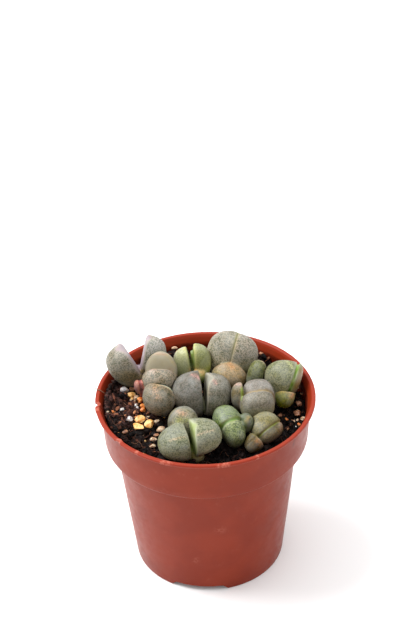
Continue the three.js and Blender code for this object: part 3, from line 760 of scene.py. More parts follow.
def largest(points, faces):
    """The largest connected part of a mesh."""
    owner = np.arange(len(points))
    edges = edges_of(faces)
    while True:
        low = np.minimum(owner[edges[:, 0]], owner[edges[:, 1]])
        after = owner.copy()
        np.minimum.at(after, edges[:, 0], low)
        np.minimum.at(after, edges[:, 1], low)
        after = after[after]
        if (after == owner).all():
            break
        owner = after
    kept = owner == np.bincount(owner).argmax()
    place = np.cumsum(kept) - 1
    return points[kept], [tuple(place[list(face)].tolist()) for face in faces if kept[face[0]]]


def skin_of(rings, bottom, top):
    """A closed skin from rings of equally many points between a bottom and a top point."""
    around = len(rings[0])
    points = np.vstack([*rings, bottom, top])
    low = len(rings) * around
    faces = []
    for i in range(around):
        after = (i + 1) % around
        faces.append((low, after, i))
        for ring in range(len(rings) - 1):
            a, b = ring * around, (ring + 1) * around
            faces.append((a + i, a + after, b + after, b + i))
        last = low - around
        faces.append((last + i, last + after, low + 1))
    return points, faces


def turns(degrees):
    """Angles round a circle, that many degrees apart."""
    return np.radians(np.arange(0, 360, degrees))


def ellipse(across, along, z, turn):
    """A level ring of points at those angles."""
    return np.stack([across * np.cos(turn), along * np.sin(turn), np.full(len(turn), z)], axis=1)


def joined(skins):
    """Several meshes as one."""
    points, faces, start = [], [], 0
    for own, shown in skins:
        points.append(own)
        faces += [tuple(start + i for i in face) for face in shown]
        start += len(own)
    return np.vstack(points), faces


def moved(points, matrix):
    """Points after a transform."""
    matrix = np.array(matrix)
    return points @ matrix[:3, :3].T + matrix[:3, 3]


def leaf_skin(form, rings, arc, face, grow=0.0):
    """A leaf in its own frame, as in the CAD source, and for each point its height share along the
    leaf, its place across it, and whether it lies on the inner face."""
    width, thick, height = form["width"], form["thick"], form["height"]
    full = form.get("full", LEAF_FULL)
    mid = height * LEAF_MID
    up = height - mid + grow
    down = mid + height * form.get("sink", LEAF_SINK) + grow
    inset = thick * form.get("tip", TIP_INSET)
    gap = form.get("gap", CLEFT)
    angle = np.radians(np.linspace(-90, 90, rings + 2)[1:-1])[:, None]
    power = np.where(angle > 0, full, LEAF_TAPER)
    z = mid + np.where(angle > 0, up, -down) * np.abs(np.sin(angle)) ** power
    size = np.cos(angle) ** power
    half = (width / 2 + grow) * size
    bend = inset * (1 - size) ** form.get("curl", TIP_CURL)
    front = gap + bend - grow
    rim = thick * form.get("rim", RIM_INSET) * size
    deep = (thick + 2 * grow) * size + inset * (1 - size) - bend
    turn = np.radians(np.linspace(-90, 90, arc))[None, :]
    side = np.sign(turn) * np.abs(np.sin(turn)) ** full
    out = np.clip(np.cos(turn), 0, 1) ** full
    share = 1 - 2 * np.arange(1, face + 1)[None, :] / (face + 1)
    x = np.hstack([
        front + rim + (deep - rim) * out,
        front + form.get("dish", LEAF_DISH) * (1 - share**2) * size + rim * share**4,
    ])
    y = np.hstack([half * side, half * share])
    skins = np.stack([x, y, np.repeat(z, arc + face, axis=1)], axis=2)
    end = gap + inset - grow
    points, faces = skin_of(list(skins), [end, 0, mid - down], [end, 0, mid + up])
    across = np.hstack([turn / (math.pi / 2), share]).repeat(rings, axis=0).ravel()
    along = (angle / (math.pi / 2)).repeat(arc + face, axis=1).ravel()
    inner = np.hstack([np.zeros(arc), np.ones(face)])[None, :].repeat(rings, axis=0).ravel()
    marks = np.stack([
        np.append(along, [-1, 1]), np.append(across, [0, 0]), np.append(inner, [0, 0]),
    ], axis=1)
    return points, faces, marks


def web_skin(form, share, half_thick):
    """The tissue that closes a cleft: a thin disc between two leaves, inside their outline."""
    mid = form["height"] * LEAF_MID
    full = form.get("full", LEAF_FULL)
    rings = []
    for angle in np.radians(np.linspace(-90, 90, 26)[1:-1]):
        power = full if angle > 0 else LEAF_TAPER
        reach = (form["height"] - mid) if angle > 0 else mid
        z = mid + math.copysign(abs(math.sin(angle)) ** power * reach * share, angle)
        half = form["width"] / 2 * math.cos(angle) ** power * share
        rings.append(ellipse(half_thick, half, z, turns(15)))
    low, high = rings[0][0][2] - 0.05, rings[-1][0][2] + 0.05
    return skin_of(rings, [0, 0, low], [0, 0, high])


def neck_skin(radius, depth, grow):
    """The stalk that goes down from a head into the soil."""
    low, high = radius * NECK_TAPER + grow, radius + grow
    rings = [ellipse(low, low, -depth - grow, turns(12)), ellipse(high, high, 0, turns(12))]
    return skin_of(rings, [0, 0, -depth - grow - 0.01], [0, 0, radius / 4])


def head_matrix(head):
    """The transform from a head's own frame to the part's."""
    tilt, toward = (math.radians(x) for x in head["tilt"])
    axis = Vector((-math.sin(toward), math.cos(toward), 0))
    return Matrix.Translation(head["at"]) @ Matrix.Rotation(tilt, 4, axis)


def leaf_matrix(form):
    """The transform from a leaf's own frame to its head's."""
    return (
        Matrix.Rotation(math.radians(form["turn"]), 4, "Z")
        @ Matrix.Translation((form["out"], form["along"], form["lift"]))
        @ Matrix.Rotation(math.radians(form["lean"]), 4, "Y")
    )


def head_skins(head, detail, grow=0.0):
    """The closed skins of a head's leaves, neck and web in the part's frame, and the marks of each
    leaf's points: its number, then those of leaf_skin."""
    skins, marks = [], []
    base = head_matrix(head)
    for number, form in enumerate(head["leaves"]):
        points, faces, own = leaf_skin(form, *detail, grow)
        skins.append((moved(points, base @ leaf_matrix(form)), faces))
        marks.append(np.hstack([np.full((len(own), 1), number), own]))
    widest = max(form["width"] for form in head["leaves"])
    depth = max(0.0, head["at"][2] - SOIL_Z) + NECK_DEPTH
    points, faces = neck_skin(widest * NECK_SHARE, depth, grow)
    skins.append((moved(points, base), faces))
    if "closed" in head and not grow:
        first, second = head["leaves"][:2]
        form = {key: min(first[key], second[key]) for key in ("width", "height")}
        form["full"] = first.get("full", LEAF_FULL)
        points, faces = web_skin(form, head["closed"], WEB_HALF)
        skins.append((moved(points, base @ leaf_matrix({**first, "lean": 0, "along": 0})), faces))
    return skins, marks


def line_gap(points, start, end):
    """How far points are from a straight line between two places."""
    start, end = np.array(start), np.array(end)
    ahead = end - start
    share = np.clip((points - start) @ ahead / max(ahead @ ahead, 1e-9), 0, 1)
    return np.linalg.norm(points - start - share[:, None] * ahead, axis=1)


def seam_gap(head, points):
    """How far points are from the plane of a head's cleft, and the way out of its middle."""
    place = head_matrix(head)
    local = moved(points, place.inverted())
    first = head["leaves"][0]
    turn = math.radians(first["turn"])
    out = points - moved(np.array([[0, 0, first["height"] * LEAF_MID]]), place)
    out /= np.linalg.norm(out, axis=1)[:, None]
    return np.abs(local[:, 0] * math.cos(turn) + local[:, 1] * math.sin(turn)), out


def tree_of(points, which):
    """A search tree of the points with those numbers."""
    tree = KDTree(len(which))
    for i in which:
        tree.insert(points[i], i)
    tree.balance()
    return tree


def painted(name, points, skins, marks):
    """The colour and the strength of the dots at each point of a head."""
    own = np.vstack([skin[0] for skin in skins[: len(marks)]])
    told = np.vstack(marks)
    on_rim = (np.abs(told[:, 2]) > 0.99) & (told[:, 3] == 0) & (told[:, 1] > -0.75)
    tree, edge_tree = tree_of(own, range(len(own))), tree_of(own, np.nonzero(on_rim)[0])
    near = [tree.find(point)[1] for point in points]
    away = np.array([edge_tree.find(point)[2] for point in points])
    number, along, _, on_inner = told[near].T
    number = number.astype(int)
    tints = np.array([[linear(tint) for tint in row["tones"]] for row in PAINT[name]])
    skin, foot, edge, inner, inner_foot, rim = tints[number].transpose(1, 0, 2)
    # The foot's colour holds painted light on the leaf's lower side as well as its own paler tone
    colour = blend(skin, foot, smooth_step(along, *FOOT_FADE))
    colour = blend(colour, edge, np.exp(-((away / EDGE_REACH) ** 2)))
    # The inner face's greens hold a painted glow of light through the leaf, as well as its own
    # colour
    face = blend(inner, inner_foot, smooth_step(along, *INNER_FADE))
    face = blend(face, rim, np.exp(-((away / RIM_REACH) ** 2)))
    colour = blend(colour, face, on_inner)
    if name in SEAMS:
        tint, half = SEAMS[name]
        share = np.exp(-((seam_gap(HEADS[name], points)[0] / half) ** 2)) * (number < 2)
        colour = blend(colour, linear(tint), SEAM_SHARE * share * smooth_step(along, -0.6, -0.2))
    for line, radius, tint, strength in MARKS.get(name, []):
        gap = np.min([line_gap(points, a, b) for a, b in zip(line, line[1:])], axis=0) / radius
        close = gap < 2.5
        share = np.zeros(len(points))
        ragged = 0.8 + 0.55 * field(points[close], 0.5, 2, radius)
        share[close] = np.exp(-(gap[close] ** 2)) * ragged
        colour = blend(colour, linear(tint), np.clip(share * strength, 0, 1))
    colour *= (1 + MOTTLE * field(points, 1.8, 3))[:, None]
    strength, inside = np.array([row["dots"] for row in PAINT[name]])[number].T
    dots = strength * (1 - on_inner * (1 - inside)) * smooth_step(away, 0.0, 0.5)
    return np.clip(colour, 0, 1), dots


def build_heads(materials):
    """Each head of leaves, pressed in by its neighbours, evened, painted and grooved."""
    for name, head in HEADS.items():
        skins, marks = head_skins(head, FINE)
        points, faces = union(*joined(skins), VOXEL)
        for neighbour in head.get("yields", []):
            other = union(*joined(head_skins(HEADS[neighbour], COARSE, SOIL_GAP)[0]), COARSE_VOXEL)
            points, faces = cut_away(points, faces, *other)
        if "yields" in head:
            points, faces = union(*largest(points, faces), VOXEL)
        points, faces = largest(points, faces)
        points = relaxed(points, edges_of(faces), head.get("soft", SOFT))
        paint, dots = painted(name, points, skins, marks)
        if name in SEAMS:
            gap, out = seam_gap(head, points)
            points = points - SEAM_DEPTH * np.exp(-((gap / SEAM_WIDTH) ** 2))[:, None] * out
        slot = slots[name]
        paints = {"paint": paint, "dots": dots}
        make(name.replace("head", "leaves"), points, faces, materials[slot], [name], paints)


def body_radius(z):
    """The radius of the pot's body outside, at a height."""
    return BASE_R + (BODY_TOP_R - BASE_R) * z / COLLAR_Z


def inner_radius(z):
    """The pot's inner radius at a height above its floor."""
    if z < COLLAR_Z - SHOULDER_DROP + WALL:
        return body_radius(z) - WALL
    share = max(0.0, (z - COLLAR_Z) / (POT_H - COLLAR_Z))
    return COLLAR_R + (COLLAR_TOP_R - COLLAR_R) * share - WALL


def pot_profile():
    """Corners of the pot's section, each with its fillet, from under the floor's middle, up the
    outside, over the lip and down to the middle of the floor."""
    shoulder = COLLAR_Z - SHOULDER_DROP
    under = POT_H - LIP_T
    ledge = COLLAR_Z + LEDGE_STEP
    corner = FLOOR_Z + 2 * WALL
    drop = POT_H - LIP_DROP
    top = FLOOR_Z + WALL
    return [
        (0, FLOOR_Z, 0), (BASE_R - WALL, FLOOR_Z, 0.1), (BASE_R - WALL, 0, 0.15), (BASE_R, 0, 0.2),
        (body_radius(shoulder), shoulder, 0.3), (COLLAR_R, COLLAR_Z, 0.45),
        (COLLAR_TOP_R, under - FLARE_DROP, 0.3), (COLLAR_TOP_R + LIP_FLARE, under, 0.15),
        (RIM_R, under, 0.2), (RIM_R, POT_H, 0.25),
        (RIM_R - LIP_W, POT_H, 0.2), (inner_radius(drop), drop, 0.6),
        (inner_radius(ledge), ledge, 0.3), (inner_radius(ledge) - LEDGE_STEP, shoulder + WALL, 0.2),
        (body_radius(shoulder) - WALL, shoulder + LEDGE_STEP, 0.1),
        (body_radius(corner) - WALL, corner, 0.3), (body_radius(FLOOR_Z) - 2 * WALL, top, 0.3),
        (0, top, 0),
    ]


def rounded(corners, pitch):
    """A section's corners as fillets of five points, with points between them at that pitch."""
    line = []
    for before, here, after in zip(corners, corners[1:], corners[2:]):
        place, radius = Vector(here[:2]), here[2]
        to_before = Vector(before[:2]) - place
        to_after = Vector(after[:2]) - place
        start = place + to_before.normalized() * min(radius, to_before.length * 0.45)
        end = place + to_after.normalized() * min(radius, to_after.length * 0.45)
        for share in np.linspace(0, 1, 5):
            line.append(start * (1 - share) ** 2 + place * 2 * share * (1 - share) + end * share**2)
    line = [Vector(corners[0][:2]), *line, Vector(corners[-1][:2])]
    full = [line[0]]
    for a, b in zip(line, line[1:]):
        parts = max(1, round((b - a).length / pitch))
        full += [a.lerp(b, (i + 1) / parts) for i in range(parts)]
    return full


def notch_skin(centre):
    """What a notch takes out of the standing ring, round that azimuth."""
    inner, outer, below = BASE_R - 3 * WALL, BASE_R + 2, -1.0
    slope = (NOTCH_FOOT_DEG - NOTCH_ROOF_DEG) / NOTCH_H

    def half(z):
        return BASE_R * math.tan(math.radians((NOTCH_FOOT_DEG - slope * z) / 2))

    def section(r):
        corners = [(-half(below), below), (half(below), below)]
        corners += [(half(NOTCH_H), NOTCH_H), (-half(NOTCH_H), NOTCH_H)]
        return np.array([(r, y, z) for y, z in corners])

    points, faces = skin_of([section(inner), section(outer)], [inner, 0, 0], [outer, 0, 0])
    return moved(points, Matrix.Rotation(math.radians(centre), 4, "Z")), faces


def drain_skin(x, y):
    """What a drain hole takes out of the pot's floor."""
    low, high = FLOOR_Z - 2 * WALL, FLOOR_Z + 3 * WALL
    rings = [ellipse(DRAIN_R, DRAIN_R, z, turns(7.5)) + [x, y, 0] for z in (low, high)]
    return skin_of(rings, [x, y, low], [x, y, high])


def turned(azimuth, centre):
    """How many degrees an azimuth is past another, from -180 to 180."""
    return (azimuth - centre + 180) % 360 - 180


def pot_turns():
    """The pot's meridians in degrees: evenly spaced, and closer at the marks on its lip."""
    turns = set(np.arange(0, 360, POT_STEP).round(2))
    for centre, half, _ in LIP_TEARS + LIP_FLAKES:
        span = 1.5 * half
        turns = {x for x in turns if abs(turned(x, centre)) > span}
        turns |= {round(x % 360, 2) for x in np.arange(centre - span, centre + span, FINE_STEP)}
    return np.radians(sorted(turns))


def mark_shares(points, azimuth, kind):
    """How strongly each point is marked, for the marks of that kind."""
    shares = np.zeros(len(points))
    for centre, height, wide, tall, strength, own in WALL_MARKS:
        if own == kind:
            away = np.radians(turned(azimuth, centre)) * BASE_R * 1.2
            gap = (away / wide) ** 2 + ((points[:, 2] - height) / tall) ** 2
            shares = np.maximum(shares, strength * np.exp(-gap))
    return shares


def build_pot(material):
    """The pot: its section turned round, cut by its holes and notches, torn and flaked at the lip
    and marked on its wall, with its inner wall below the lip darkened as painted shade."""
    line = rounded(pot_profile(), SECTION_STEP)
    turn = pot_turns()
    rings = [ellipse(p.x, p.x, p.y, turn) for p in line[1:-1]]
    points, faces = skin_of(rings, [0, 0, line[0].y], [0, 0, line[-1].y])
    cutters = [drain_skin(0, 0)]
    for i in range(NOTCH_COUNT):
        centre = NOTCH_DEG + 360 / NOTCH_COUNT * i
        cutters.append(notch_skin(centre))
        away = math.radians(centre)
        cutters.append(drain_skin(DRAIN_RING_R * math.cos(away), DRAIN_RING_R * math.sin(away)))
    points, faces = cut_away(points, faces, *joined(cutters))
    x, y, z = points.T
    radius = np.hypot(x, y)
    azimuth = np.degrees(np.arctan2(y, x))
    inside = radius < np.array([inner_radius(level) + 0.2 for level in z])
    # Painted shade: the inner wall below the lip is darkened where the pot's mouth lies in shade
    smear_and_shade = inside * smooth_step(z, 47.6, 45.0) * 0.9
    outside = ~inside & (z > 1)
    smear_and_shade = np.maximum(smear_and_shade, mark_shares(points, azimuth, "smear_and_shade") * outside)
    scrape = mark_shares(points, azimuth, "scrape") * outside
    push = WALL_WANDER * field(points, 14, 2) * smooth_step(z, 2, 8) * smooth_step(z, 47.3, 45)
    on_lip = smooth_step(z, 46.6, 47.3) * smooth_step(radius, 26.0, 26.8)
    ragged = 1 + 0.6 * field(points, 0.6, 2, 4)
    for centre, half, depth in LIP_TEARS:
        share = smooth_step(np.abs(turned(azimuth, centre)), half, 0.4 * half)
        push -= depth * share * on_lip * ragged
        scrape = np.maximum(scrape, 0.45 * share * on_lip)
    rise = np.zeros(len(points))
    for centre, half, height in LIP_FLAKES:
        share = smooth_step(np.abs(turned(azimuth, centre)), half, 0.7 * half)
        push += height * share * on_lip * ragged
        rise += 0.6 * height * share * on_lip * smooth_step(z, 47.5, 47.9) * ragged
        scrape = np.maximum(scrape, 0.4 * share * on_lip)
    push += LIP_WANDER * field(points, 1.2, 3, 6) * on_lip
    points[:, :2] *= (1 + push / np.maximum(radius, 5))[:, None]
    points[:, 2] += rise
    paints = {"smear_and_shade": smear_and_shade, "scrape": scrape}
    pot = make("pot_shell", points, faces, material, ["pot"], paints)
    pot.data.set_sharp_from_angle(angle=math.radians(SHARP_DEG))


def soil_level(x, y):
    """The soil's height, as in the CAD source."""
    z = SOIL_Z
    for mound_x, mound_y, spread, rise in MOUNDS:
        z = z + rise * np.exp(-((x - mound_x) ** 2 + (y - mound_y) ** 2) / spread**2)
    waves = np.sin(1.3 * x + 0.7 * y) * np.cos(1.1 * y - 0.4 * x) + 0.5 * np.sin(2.3 * x - 1.9 * y)
    return z + SOIL_LUMP * waves


def left_share(x, y):
    """1 along the wall at the left, 0 elsewhere."""
    return smooth_step(x - 0.35 * y, -12, -19) * smooth_step(y, 13, 7)


def soil_top(x, y):
    """The soil's height with its clods, and banked up a little at the wall on the left."""
    places = np.stack([x, y, np.zeros(len(x))], axis=1)
    clods = 1.0 * field(places, 2.4, 3, 5) + 1.2 * (0.3 - np.abs(field(places, 1.4, 3, 9)))
    clods += 0.4 * field(places, 0.6, 2, 14)
    bank = 2.3 * smooth_step(np.hypot(x, y), 20.5, 24.8) * left_share(x, y)
    return soil_level(x, y) + clods + bank


def soil_shade(places):
    """The soil's brown at places: nearly black at the front and right, as painted shade over wetter
    peat, and paler at the left as painted light.
    """
    x, y = places[:, 0], places[:, 1]
    # Painted shade, over wetter peat, darkens the front and right; painted light brightens the left
    damp_and_shade = smooth_step(x, -9, 0) * smooth_step(y, 12, 6)
    damp_and_shade = np.maximum(damp_and_shade, 0.8 * smooth_step(y, -6, -11))
    lit_left = smooth_step(x, -11, -16) * smooth_step(y, -9, -3)
    tone = np.clip(0.55 + 0.9 * field(places, 2.2, 3, 2), 0.14, 1.8)
    return linear(PEAT) * (tone * (1 - 0.7 * damp_and_shade) * (1 + 1.4 * lit_left))[:, None]


def build_soil(material):
    """The soil that fills the pot, with its surface drawn as a fine net of rings."""
    sides, rings = 360, 120
    turn = np.radians(np.arange(sides) * 360 / sides)

    def ring(radius, height=None):
        x, y = radius * np.cos(turn), radius * np.sin(turn)
        z = soil_top(x, y) if height is None else np.full(sides, height)
        return np.stack([x, y, z], axis=1)

    floor = FLOOR_Z + WALL + SOIL_GAP
    step = COLLAR_Z - SHOULDER_DROP
    ledge = COLLAR_Z + 2
    bevel = 1.2
    reach = inner_radius(SOIL_Z) - SOIL_GAP
    skins = [
        ring(inner_radius(floor + bevel) - SOIL_GAP - bevel, floor),
        ring(inner_radius(floor + bevel) - SOIL_GAP, floor + bevel),
        ring(inner_radius(step) - SOIL_GAP, step),
        ring(inner_radius(step) - SOIL_GAP, COLLAR_Z + WALL + SOIL_GAP),
        ring(inner_radius(ledge) - SOIL_GAP, ledge),
    ]
    skins += [ring(reach * number / rings) for number in range(rings, 0, -1)]
    middle = soil_top(np.zeros(1), np.zeros(1))[0]
    points, faces = skin_of(skins, [0, 0, floor], [0, 0, middle])
    # The soil's colour, with painted shade at the front and right and painted light at the left
    paints = {"shade": soil_shade(points)}
    make("soil_bed", points, faces, material, ["soil"], paints)


def ball(level):
    """The points and faces of a sphere of even triangles."""
    mesh = bpy.data.meshes.new("ball")
    worker = bmesh.new()
    bmesh.ops.create_icosphere(worker, subdivisions=level, radius=1)
    worker.to_mesh(mesh)
    worker.free()
    points = np.array([v.co for v in mesh.vertices])
    faces = [tuple(p.vertices) for p in mesh.polygons]
    bpy.data.meshes.remove(mesh)
    return points, faces


def lumps(random, centres, sizes, level, rough, shape, planes=0, lean=0.5):
    """Many small irregular pieces as points and faces, and the number of each point's piece. shape
    gives the ranges of their length, width and height against their size, and planes how many flats
    each has broken off it."""
    base, shown = ball(level)
    count = len(centres)
    points = base[None] * (1 + rough * random.uniform(-1, 1, (count, len(base), 1)))
    for _ in range(planes):
        facing = random.normal(0, 1, (count, 3))
        facing /= np.linalg.norm(facing, axis=1)[:, None]
        reach = random.uniform(0.62, 0.9, count)
        over = np.einsum("nij,nj->ni", points, facing) - reach[:, None]
        points -= np.maximum(over, 0)[..., None] * facing[:, None, :]
    stretch = np.stack([random.uniform(low, high, count) for low, high in shape], axis=1)
    points *= stretch[:, None, :] * np.asarray(sizes)[:, None, None]
    spin = random.uniform(0, 2 * math.pi, count)
    tip = random.uniform(-lean, lean, count)
    c, s, cl, sl = np.cos(spin), np.sin(spin), np.cos(tip), np.sin(tip)
    zero = np.zeros(count)
    turn = np.stack([
        np.stack([c, -s * cl, s * sl], axis=1),
        np.stack([s, c * cl, -c * sl], axis=1),
        np.stack([zero, sl, cl], axis=1),
    ], axis=1)
    points = np.einsum("nij,nkj->nki", turn, points) + np.asarray(centres)[:, None, :]
    faces = np.array(shown)[None] + np.arange(count)[:, None, None] * len(base)
    owner = np.repeat(np.arange(count), len(base))
    return points.reshape(-1, 3), [tuple(f) for f in faces.reshape(-1, 3).tolist()], owner


def scattered(random, count, reach):
    """Random places in a disc of that radius."""
    radius = reach * np.sqrt(random.uniform(0, 1, count))
    turn = random.uniform(0, 2 * math.pi, count)
    return radius * np.cos(turn), radius * np.sin(turn)


def held_in(places, reach):
    """Places, with those outside that radius drawn in to it."""
    far = np.hypot(places[:, 0], places[:, 1])
    return places * np.minimum(1, reach / far)[:, None]


def clear_of_plants(x, y):
    """The places that are not close round a plant's neck."""
    stems = np.array([head["at"][:2] for head in HEADS.values()])
    gap = np.hypot(x[:, None] - stems[:, 0], y[:, None] - stems[:, 1]).min(1)
    return x[gap > STEM_CLEAR], y[gap > STEM_CLEAR]


def leftward(random, x, share):
    """x of places, with a random share of them mirrored into the left half."""
    return np.where(random.uniform(0, 1, len(x)) < share, -np.abs(x), x)


def on_soil(x, y, rise):
    """Places that far above the soil."""
    return np.stack([x, y, soil_top(x, y) + rise], axis=1)


def browns(random, places, table, least):
    """A brown out of a table for each place, dimmed where the soil is dark, its painted shade
    included.
    """
    colours, shares = table
    kind = random.choice(len(colours), len(places), p=shares)
    dim = soil_shade(places).mean(1) / linear(PEAT).mean()
    return linear(colours)[kind] * np.clip(least + (1 - least) * dim, 0.2, 1.2)[:, None]


def litter(name, material, parts, shades):
    """A piece made of many small parts on the soil, with a brown for each."""
    points, faces, owner = parts
    make(name, points, faces, material, paints={"shade": shades[owner]})


def wall_heap(random):
    """Places of the crumbs heaped against the wall at the left."""
    turn = np.radians(random.uniform(*HEAP_TURN, HEAP_COUNT))
    radius = random.uniform(*HEAP_RADIUS, HEAP_COUNT)
    x, y = radius * np.cos(turn), radius * np.sin(turn)
    base = soil_top(x, y)
    rise = random.uniform(0, 1, HEAP_COUNT) * np.clip(HEAP_TOP - base, 0, 3)
    return np.stack([x, y, np.minimum(base + rise, HEAP_TOP)], axis=1)


def build_crumbs(material):
    """Crumbs and clods of peat on the soil, and flat chips of bark between them, coloured with the
    soil's painted shade and light.
    """
    random = np.random.default_rng(11)
    x, y = clear_of_plants(*scattered(random, CRUMBS, CRUMB_REACH))
    sizes = 0.18 + 0.62 * random.uniform(0, 1, len(x)) ** 2.6
    places = np.vstack([on_soil(x, y, sizes * 0.25), wall_heap(random)])
    sizes = np.append(sizes, random.uniform(0.22, 0.42, HEAP_COUNT))
    shape = ((0.8, 1.5), (0.6, 1.0), (0.5, 0.9))
    crumbs = lumps(random, places, sizes, 2, 0.22, shape, planes=3)
    tone = random.uniform(0.2, 1.9, len(places)) ** 1.4
    warm = random.uniform(0.8, 1.0, len(places))
    tint = np.stack([np.ones(len(places)), warm, warm**2], axis=1)
    litter("soil_crumbs", material, crumbs, soil_shade(places) * tone[:, None] * tint)

    x, y = clear_of_plants(*scattered(random, CLODS, CLOD_REACH))
    sizes = random.uniform(0.6, 1.35, len(x))
    places = on_soil(x, y, sizes * 0.1)
    shape = ((0.8, 1.4), (0.6, 1.0), (0.5, 0.8))
    clods = lumps(random, places, sizes, 3, 0.09, shape, planes=5)
    tone = random.uniform(0.5, 1.5, len(places))
    litter("soil_clods", material, clods, soil_shade(places) * tone[:, None])

    x, y = scattered(random, CHIPS, CHIP_REACH)
    x = leftward(random, x, 0.55)
    sizes = random.uniform(0.35, 1.1, CHIPS)
    places = on_soil(x, y, 0.22)
    shape = ((0.9, 1.7), (0.3, 0.6), (0.12, 0.28))
    chips = lumps(random, places, sizes, 2, 0.1, shape, planes=5, lean=0.7)
    litter("soil_chips", material, chips, browns(random, places, BARK, 0.35))


def tube(line, thick):
    """A thin round fibre along a line of points."""
    line = np.array(line)
    ahead = np.gradient(line, axis=0)
    ahead /= np.linalg.norm(ahead, axis=1)[:, None] + 1e-9
    side = np.cross(ahead, [0, 0, 1])
    side /= np.linalg.norm(side, axis=1)[:, None] + 1e-9
    other = np.cross(side, ahead)
    turn = np.linspace(0, 2 * math.pi, 5, endpoint=False)
    taper = thick * (1 - 0.6 * np.abs(np.linspace(-1, 1, len(line))) ** 3)
    rings = [
        line[k] + taper[k] * (np.outer(np.cos(turn), side[k]) + np.outer(np.sin(turn), other[k]))
        for k in range(len(line))
    ]
    return skin_of(rings, line[0], line[-1])


def thread(random, start, length, thick):
    """A thin bent fibre that lies on the soil."""
    knots, (x, y) = 9, start
    step = length / (knots - 1)
    heading = random.uniform(0, 2 * math.pi)
    bend = random.uniform(-0.35, 0.35)
    rise = random.uniform(-0.1, 0.35)
    line = []
    for knot in range(knots):
        line.append((x, y, rise * math.sin(math.pi * knot / (knots - 1)) * length * 0.4))
        heading += bend + random.uniform(-0.25, 0.25)
        x, y = x + step * math.cos(heading), y + step * math.sin(heading)
    line = np.array(line)
    line[:, :2] = held_in(line[:, :2], CRUMB_REACH)
    line[:, 2] += soil_top(line[:, 0], line[:, 1]) + 0.1
    return tube(line, thick)


def build_fibres(material):
    """Root fibres on the soil, and one over the lip."""
    random = np.random.default_rng(23)
    x, y = scattered(random, FIBRES, FIBRE_REACH)
    x = leftward(random, x, 0.4)
    lengths = random.uniform(0.8, 5.5, FIBRES)
    thick = random.uniform(0.03, 0.13, FIBRES)
    skins = [thread(random, *own) for own in zip(zip(x, y), lengths, thick)]
    skins.append(tube(LIP_FIBRE, 0.12))
    owner = np.repeat([*range(FIBRES), 0], [len(skin[0]) for skin in skins])
    places = np.stack([x, y, np.zeros(FIBRES)], axis=1)
    shades = browns(random, places, ROOT, 0.3)
    litter("soil_fibres", material, (*joined(skins), owner), shades)


def build_grit(materials):
    """Each stone of the CAD model, rounded and roughened in its own place."""
    random = np.random.default_rng(37)
    for node, part in sorted(frame["nodes"].items()):
        if not node.startswith("grit"):
            continue
        points = np.array([v.co for v in part.data.vertices]) / MM
        kept, index = np.unique(points.round(4), axis=0, return_inverse=True)
        index = index.ravel()
        faces = [tuple(int(index[i]) for i in p.vertices) for p in part.data.polygons]
        points, faces = through(kept, faces, "SUBSURF", levels=2, render_levels=2)
        middle = points.mean(0)
        half = (points.max(0) - points.min(0)) / 2
        swell = 1.12 + 0.04 * field(points, 0.9, 3, random.uniform(0, 50))
        local = (points - middle) / half * swell[:, None]
        for _ in range(GRIT_FLATS):
            facing = random.normal(0, 1, 3)
            facing /= np.linalg.norm(facing)
            over = np.maximum(local @ facing - random.uniform(0.66, 0.88), 0)
            local -= over[:, None] * facing
        points = middle + local * half
        slot = slots[node]
        make(node.replace("grit", "stone"), points, faces, materials[slot], [node])


def build_small_grit(materials):
    """Small grains between the large ones, most of them at the left and by the right wall."""
    random = np.random.default_rng(41)
    for slot, count in SCATTERED_GRAINS.items():
        left = random.normal((-17, -4), (3.6, 7.0), (count * 3 // 4, 2))
        right = random.normal((22, -1.5), (1.6, 4.5), (count - len(left), 2))
        sizes = random.uniform(0.2, 0.55, count)
        seen = np.array(PLACED_GRAINS[slot])
        loose = held_in(np.vstack([left, right]), GRAIN_REACH)
        x, y = np.vstack([loose, seen[:, :2]]).T
        sizes = np.append(sizes, seen[:, 2])
        shape = ((0.8, 1.3), (0.7, 1.0), (0.6, 0.9))
        places = on_soil(x, y, sizes * 0.35)
        points, faces, _ = lumps(random, places, sizes, 3, 0.0, shape, planes=7)
        make(slot + "_small", points, faces, materials[slot])


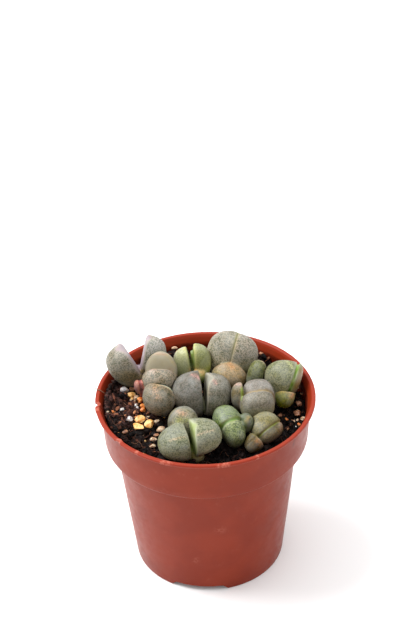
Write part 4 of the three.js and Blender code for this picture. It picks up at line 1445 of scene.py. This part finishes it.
def build_stage():
    """A plain pale floor and soft studio light."""
    floor = Shader("floor_paper", Base_Color=(0.9, 0.9, 0.9, 1.0), Roughness=0.9)
    mesh = mesh_of("floor", [(-3, -3, 0), (3, -3, 0), (3, 3, 0), (-3, 3, 0)], [(0, 1, 2, 3)])
    mesh.materials.append(floor.material)
    ground = placed("floor", mesh)
    ground.location.z = -0.00005

    world = bpy.data.worlds.new("studio")
    bpy.context.scene.world = world
    world.use_nodes = True
    sky = Nodes(world.node_tree)
    values = {0: sky.add("ShaderNodeTexCoord").outputs["Generated"], 1: SKY_TOWARDS}
    facing = sky.add("ShaderNodeVectorMath", values, operation="DOT_PRODUCT").outputs["Value"]
    strength = sky.steps(facing, *SKY_STEP)
    sky.put(sky.tree.nodes["Background"], {"Color": (1, 1, 1, 1), "Strength": strength})

    lamp = bpy.data.lights.new("key", "AREA")
    lamp.shape, lamp.size, lamp.energy = "DISK", LAMP_WIDE, LAMP_POWER
    holder = placed("key", lamp)
    holder.location = LAMP_AT
    holder.rotation_euler = (-Vector(LAMP_AT)).to_track_quat("-Z", "Y").to_euler()
    bpy.context.scene.view_settings.view_transform = "Standard"


def build_camera():
    """The photograph's camera."""
    ahead = Vector((
        math.sin(YAW) * math.cos(PITCH), math.cos(YAW) * math.cos(PITCH), math.sin(PITCH),
    ))
    level = Vector((math.cos(YAW), -math.sin(YAW), 0))
    above = level.cross(ahead)
    right = math.cos(ROLL) * level + math.sin(ROLL) * above
    up = -math.sin(ROLL) * level + math.cos(ROLL) * above
    data = bpy.data.cameras.new("camera")
    data.lens, data.sensor_width, data.sensor_fit = LENS, 36.0, "AUTO"
    data.clip_start, data.clip_end = 0.01, 10.0
    camera = placed("camera", data)
    turn = Matrix((right, up, -ahead)).transposed().to_4x4()
    camera.matrix_world = Matrix.Translation(Vector(CAMERA_MM) * MM) @ turn
    bpy.context.scene.camera = camera


materials = {slot: leaf_material(slot, *look) for slot, look in LEAF_LOOKS.items()}
materials |= {slot: grit_material(slot, *pair) for slot, pair in GRIT_COLOURS.items()}
soil = soil_material()

build_camera()
build_stage()
build_pot(pot_material())
build_soil(soil)
build_crumbs(soil)
build_fibres(soil)
build_grit(materials)
build_small_grit(materials)
build_heads(materials)
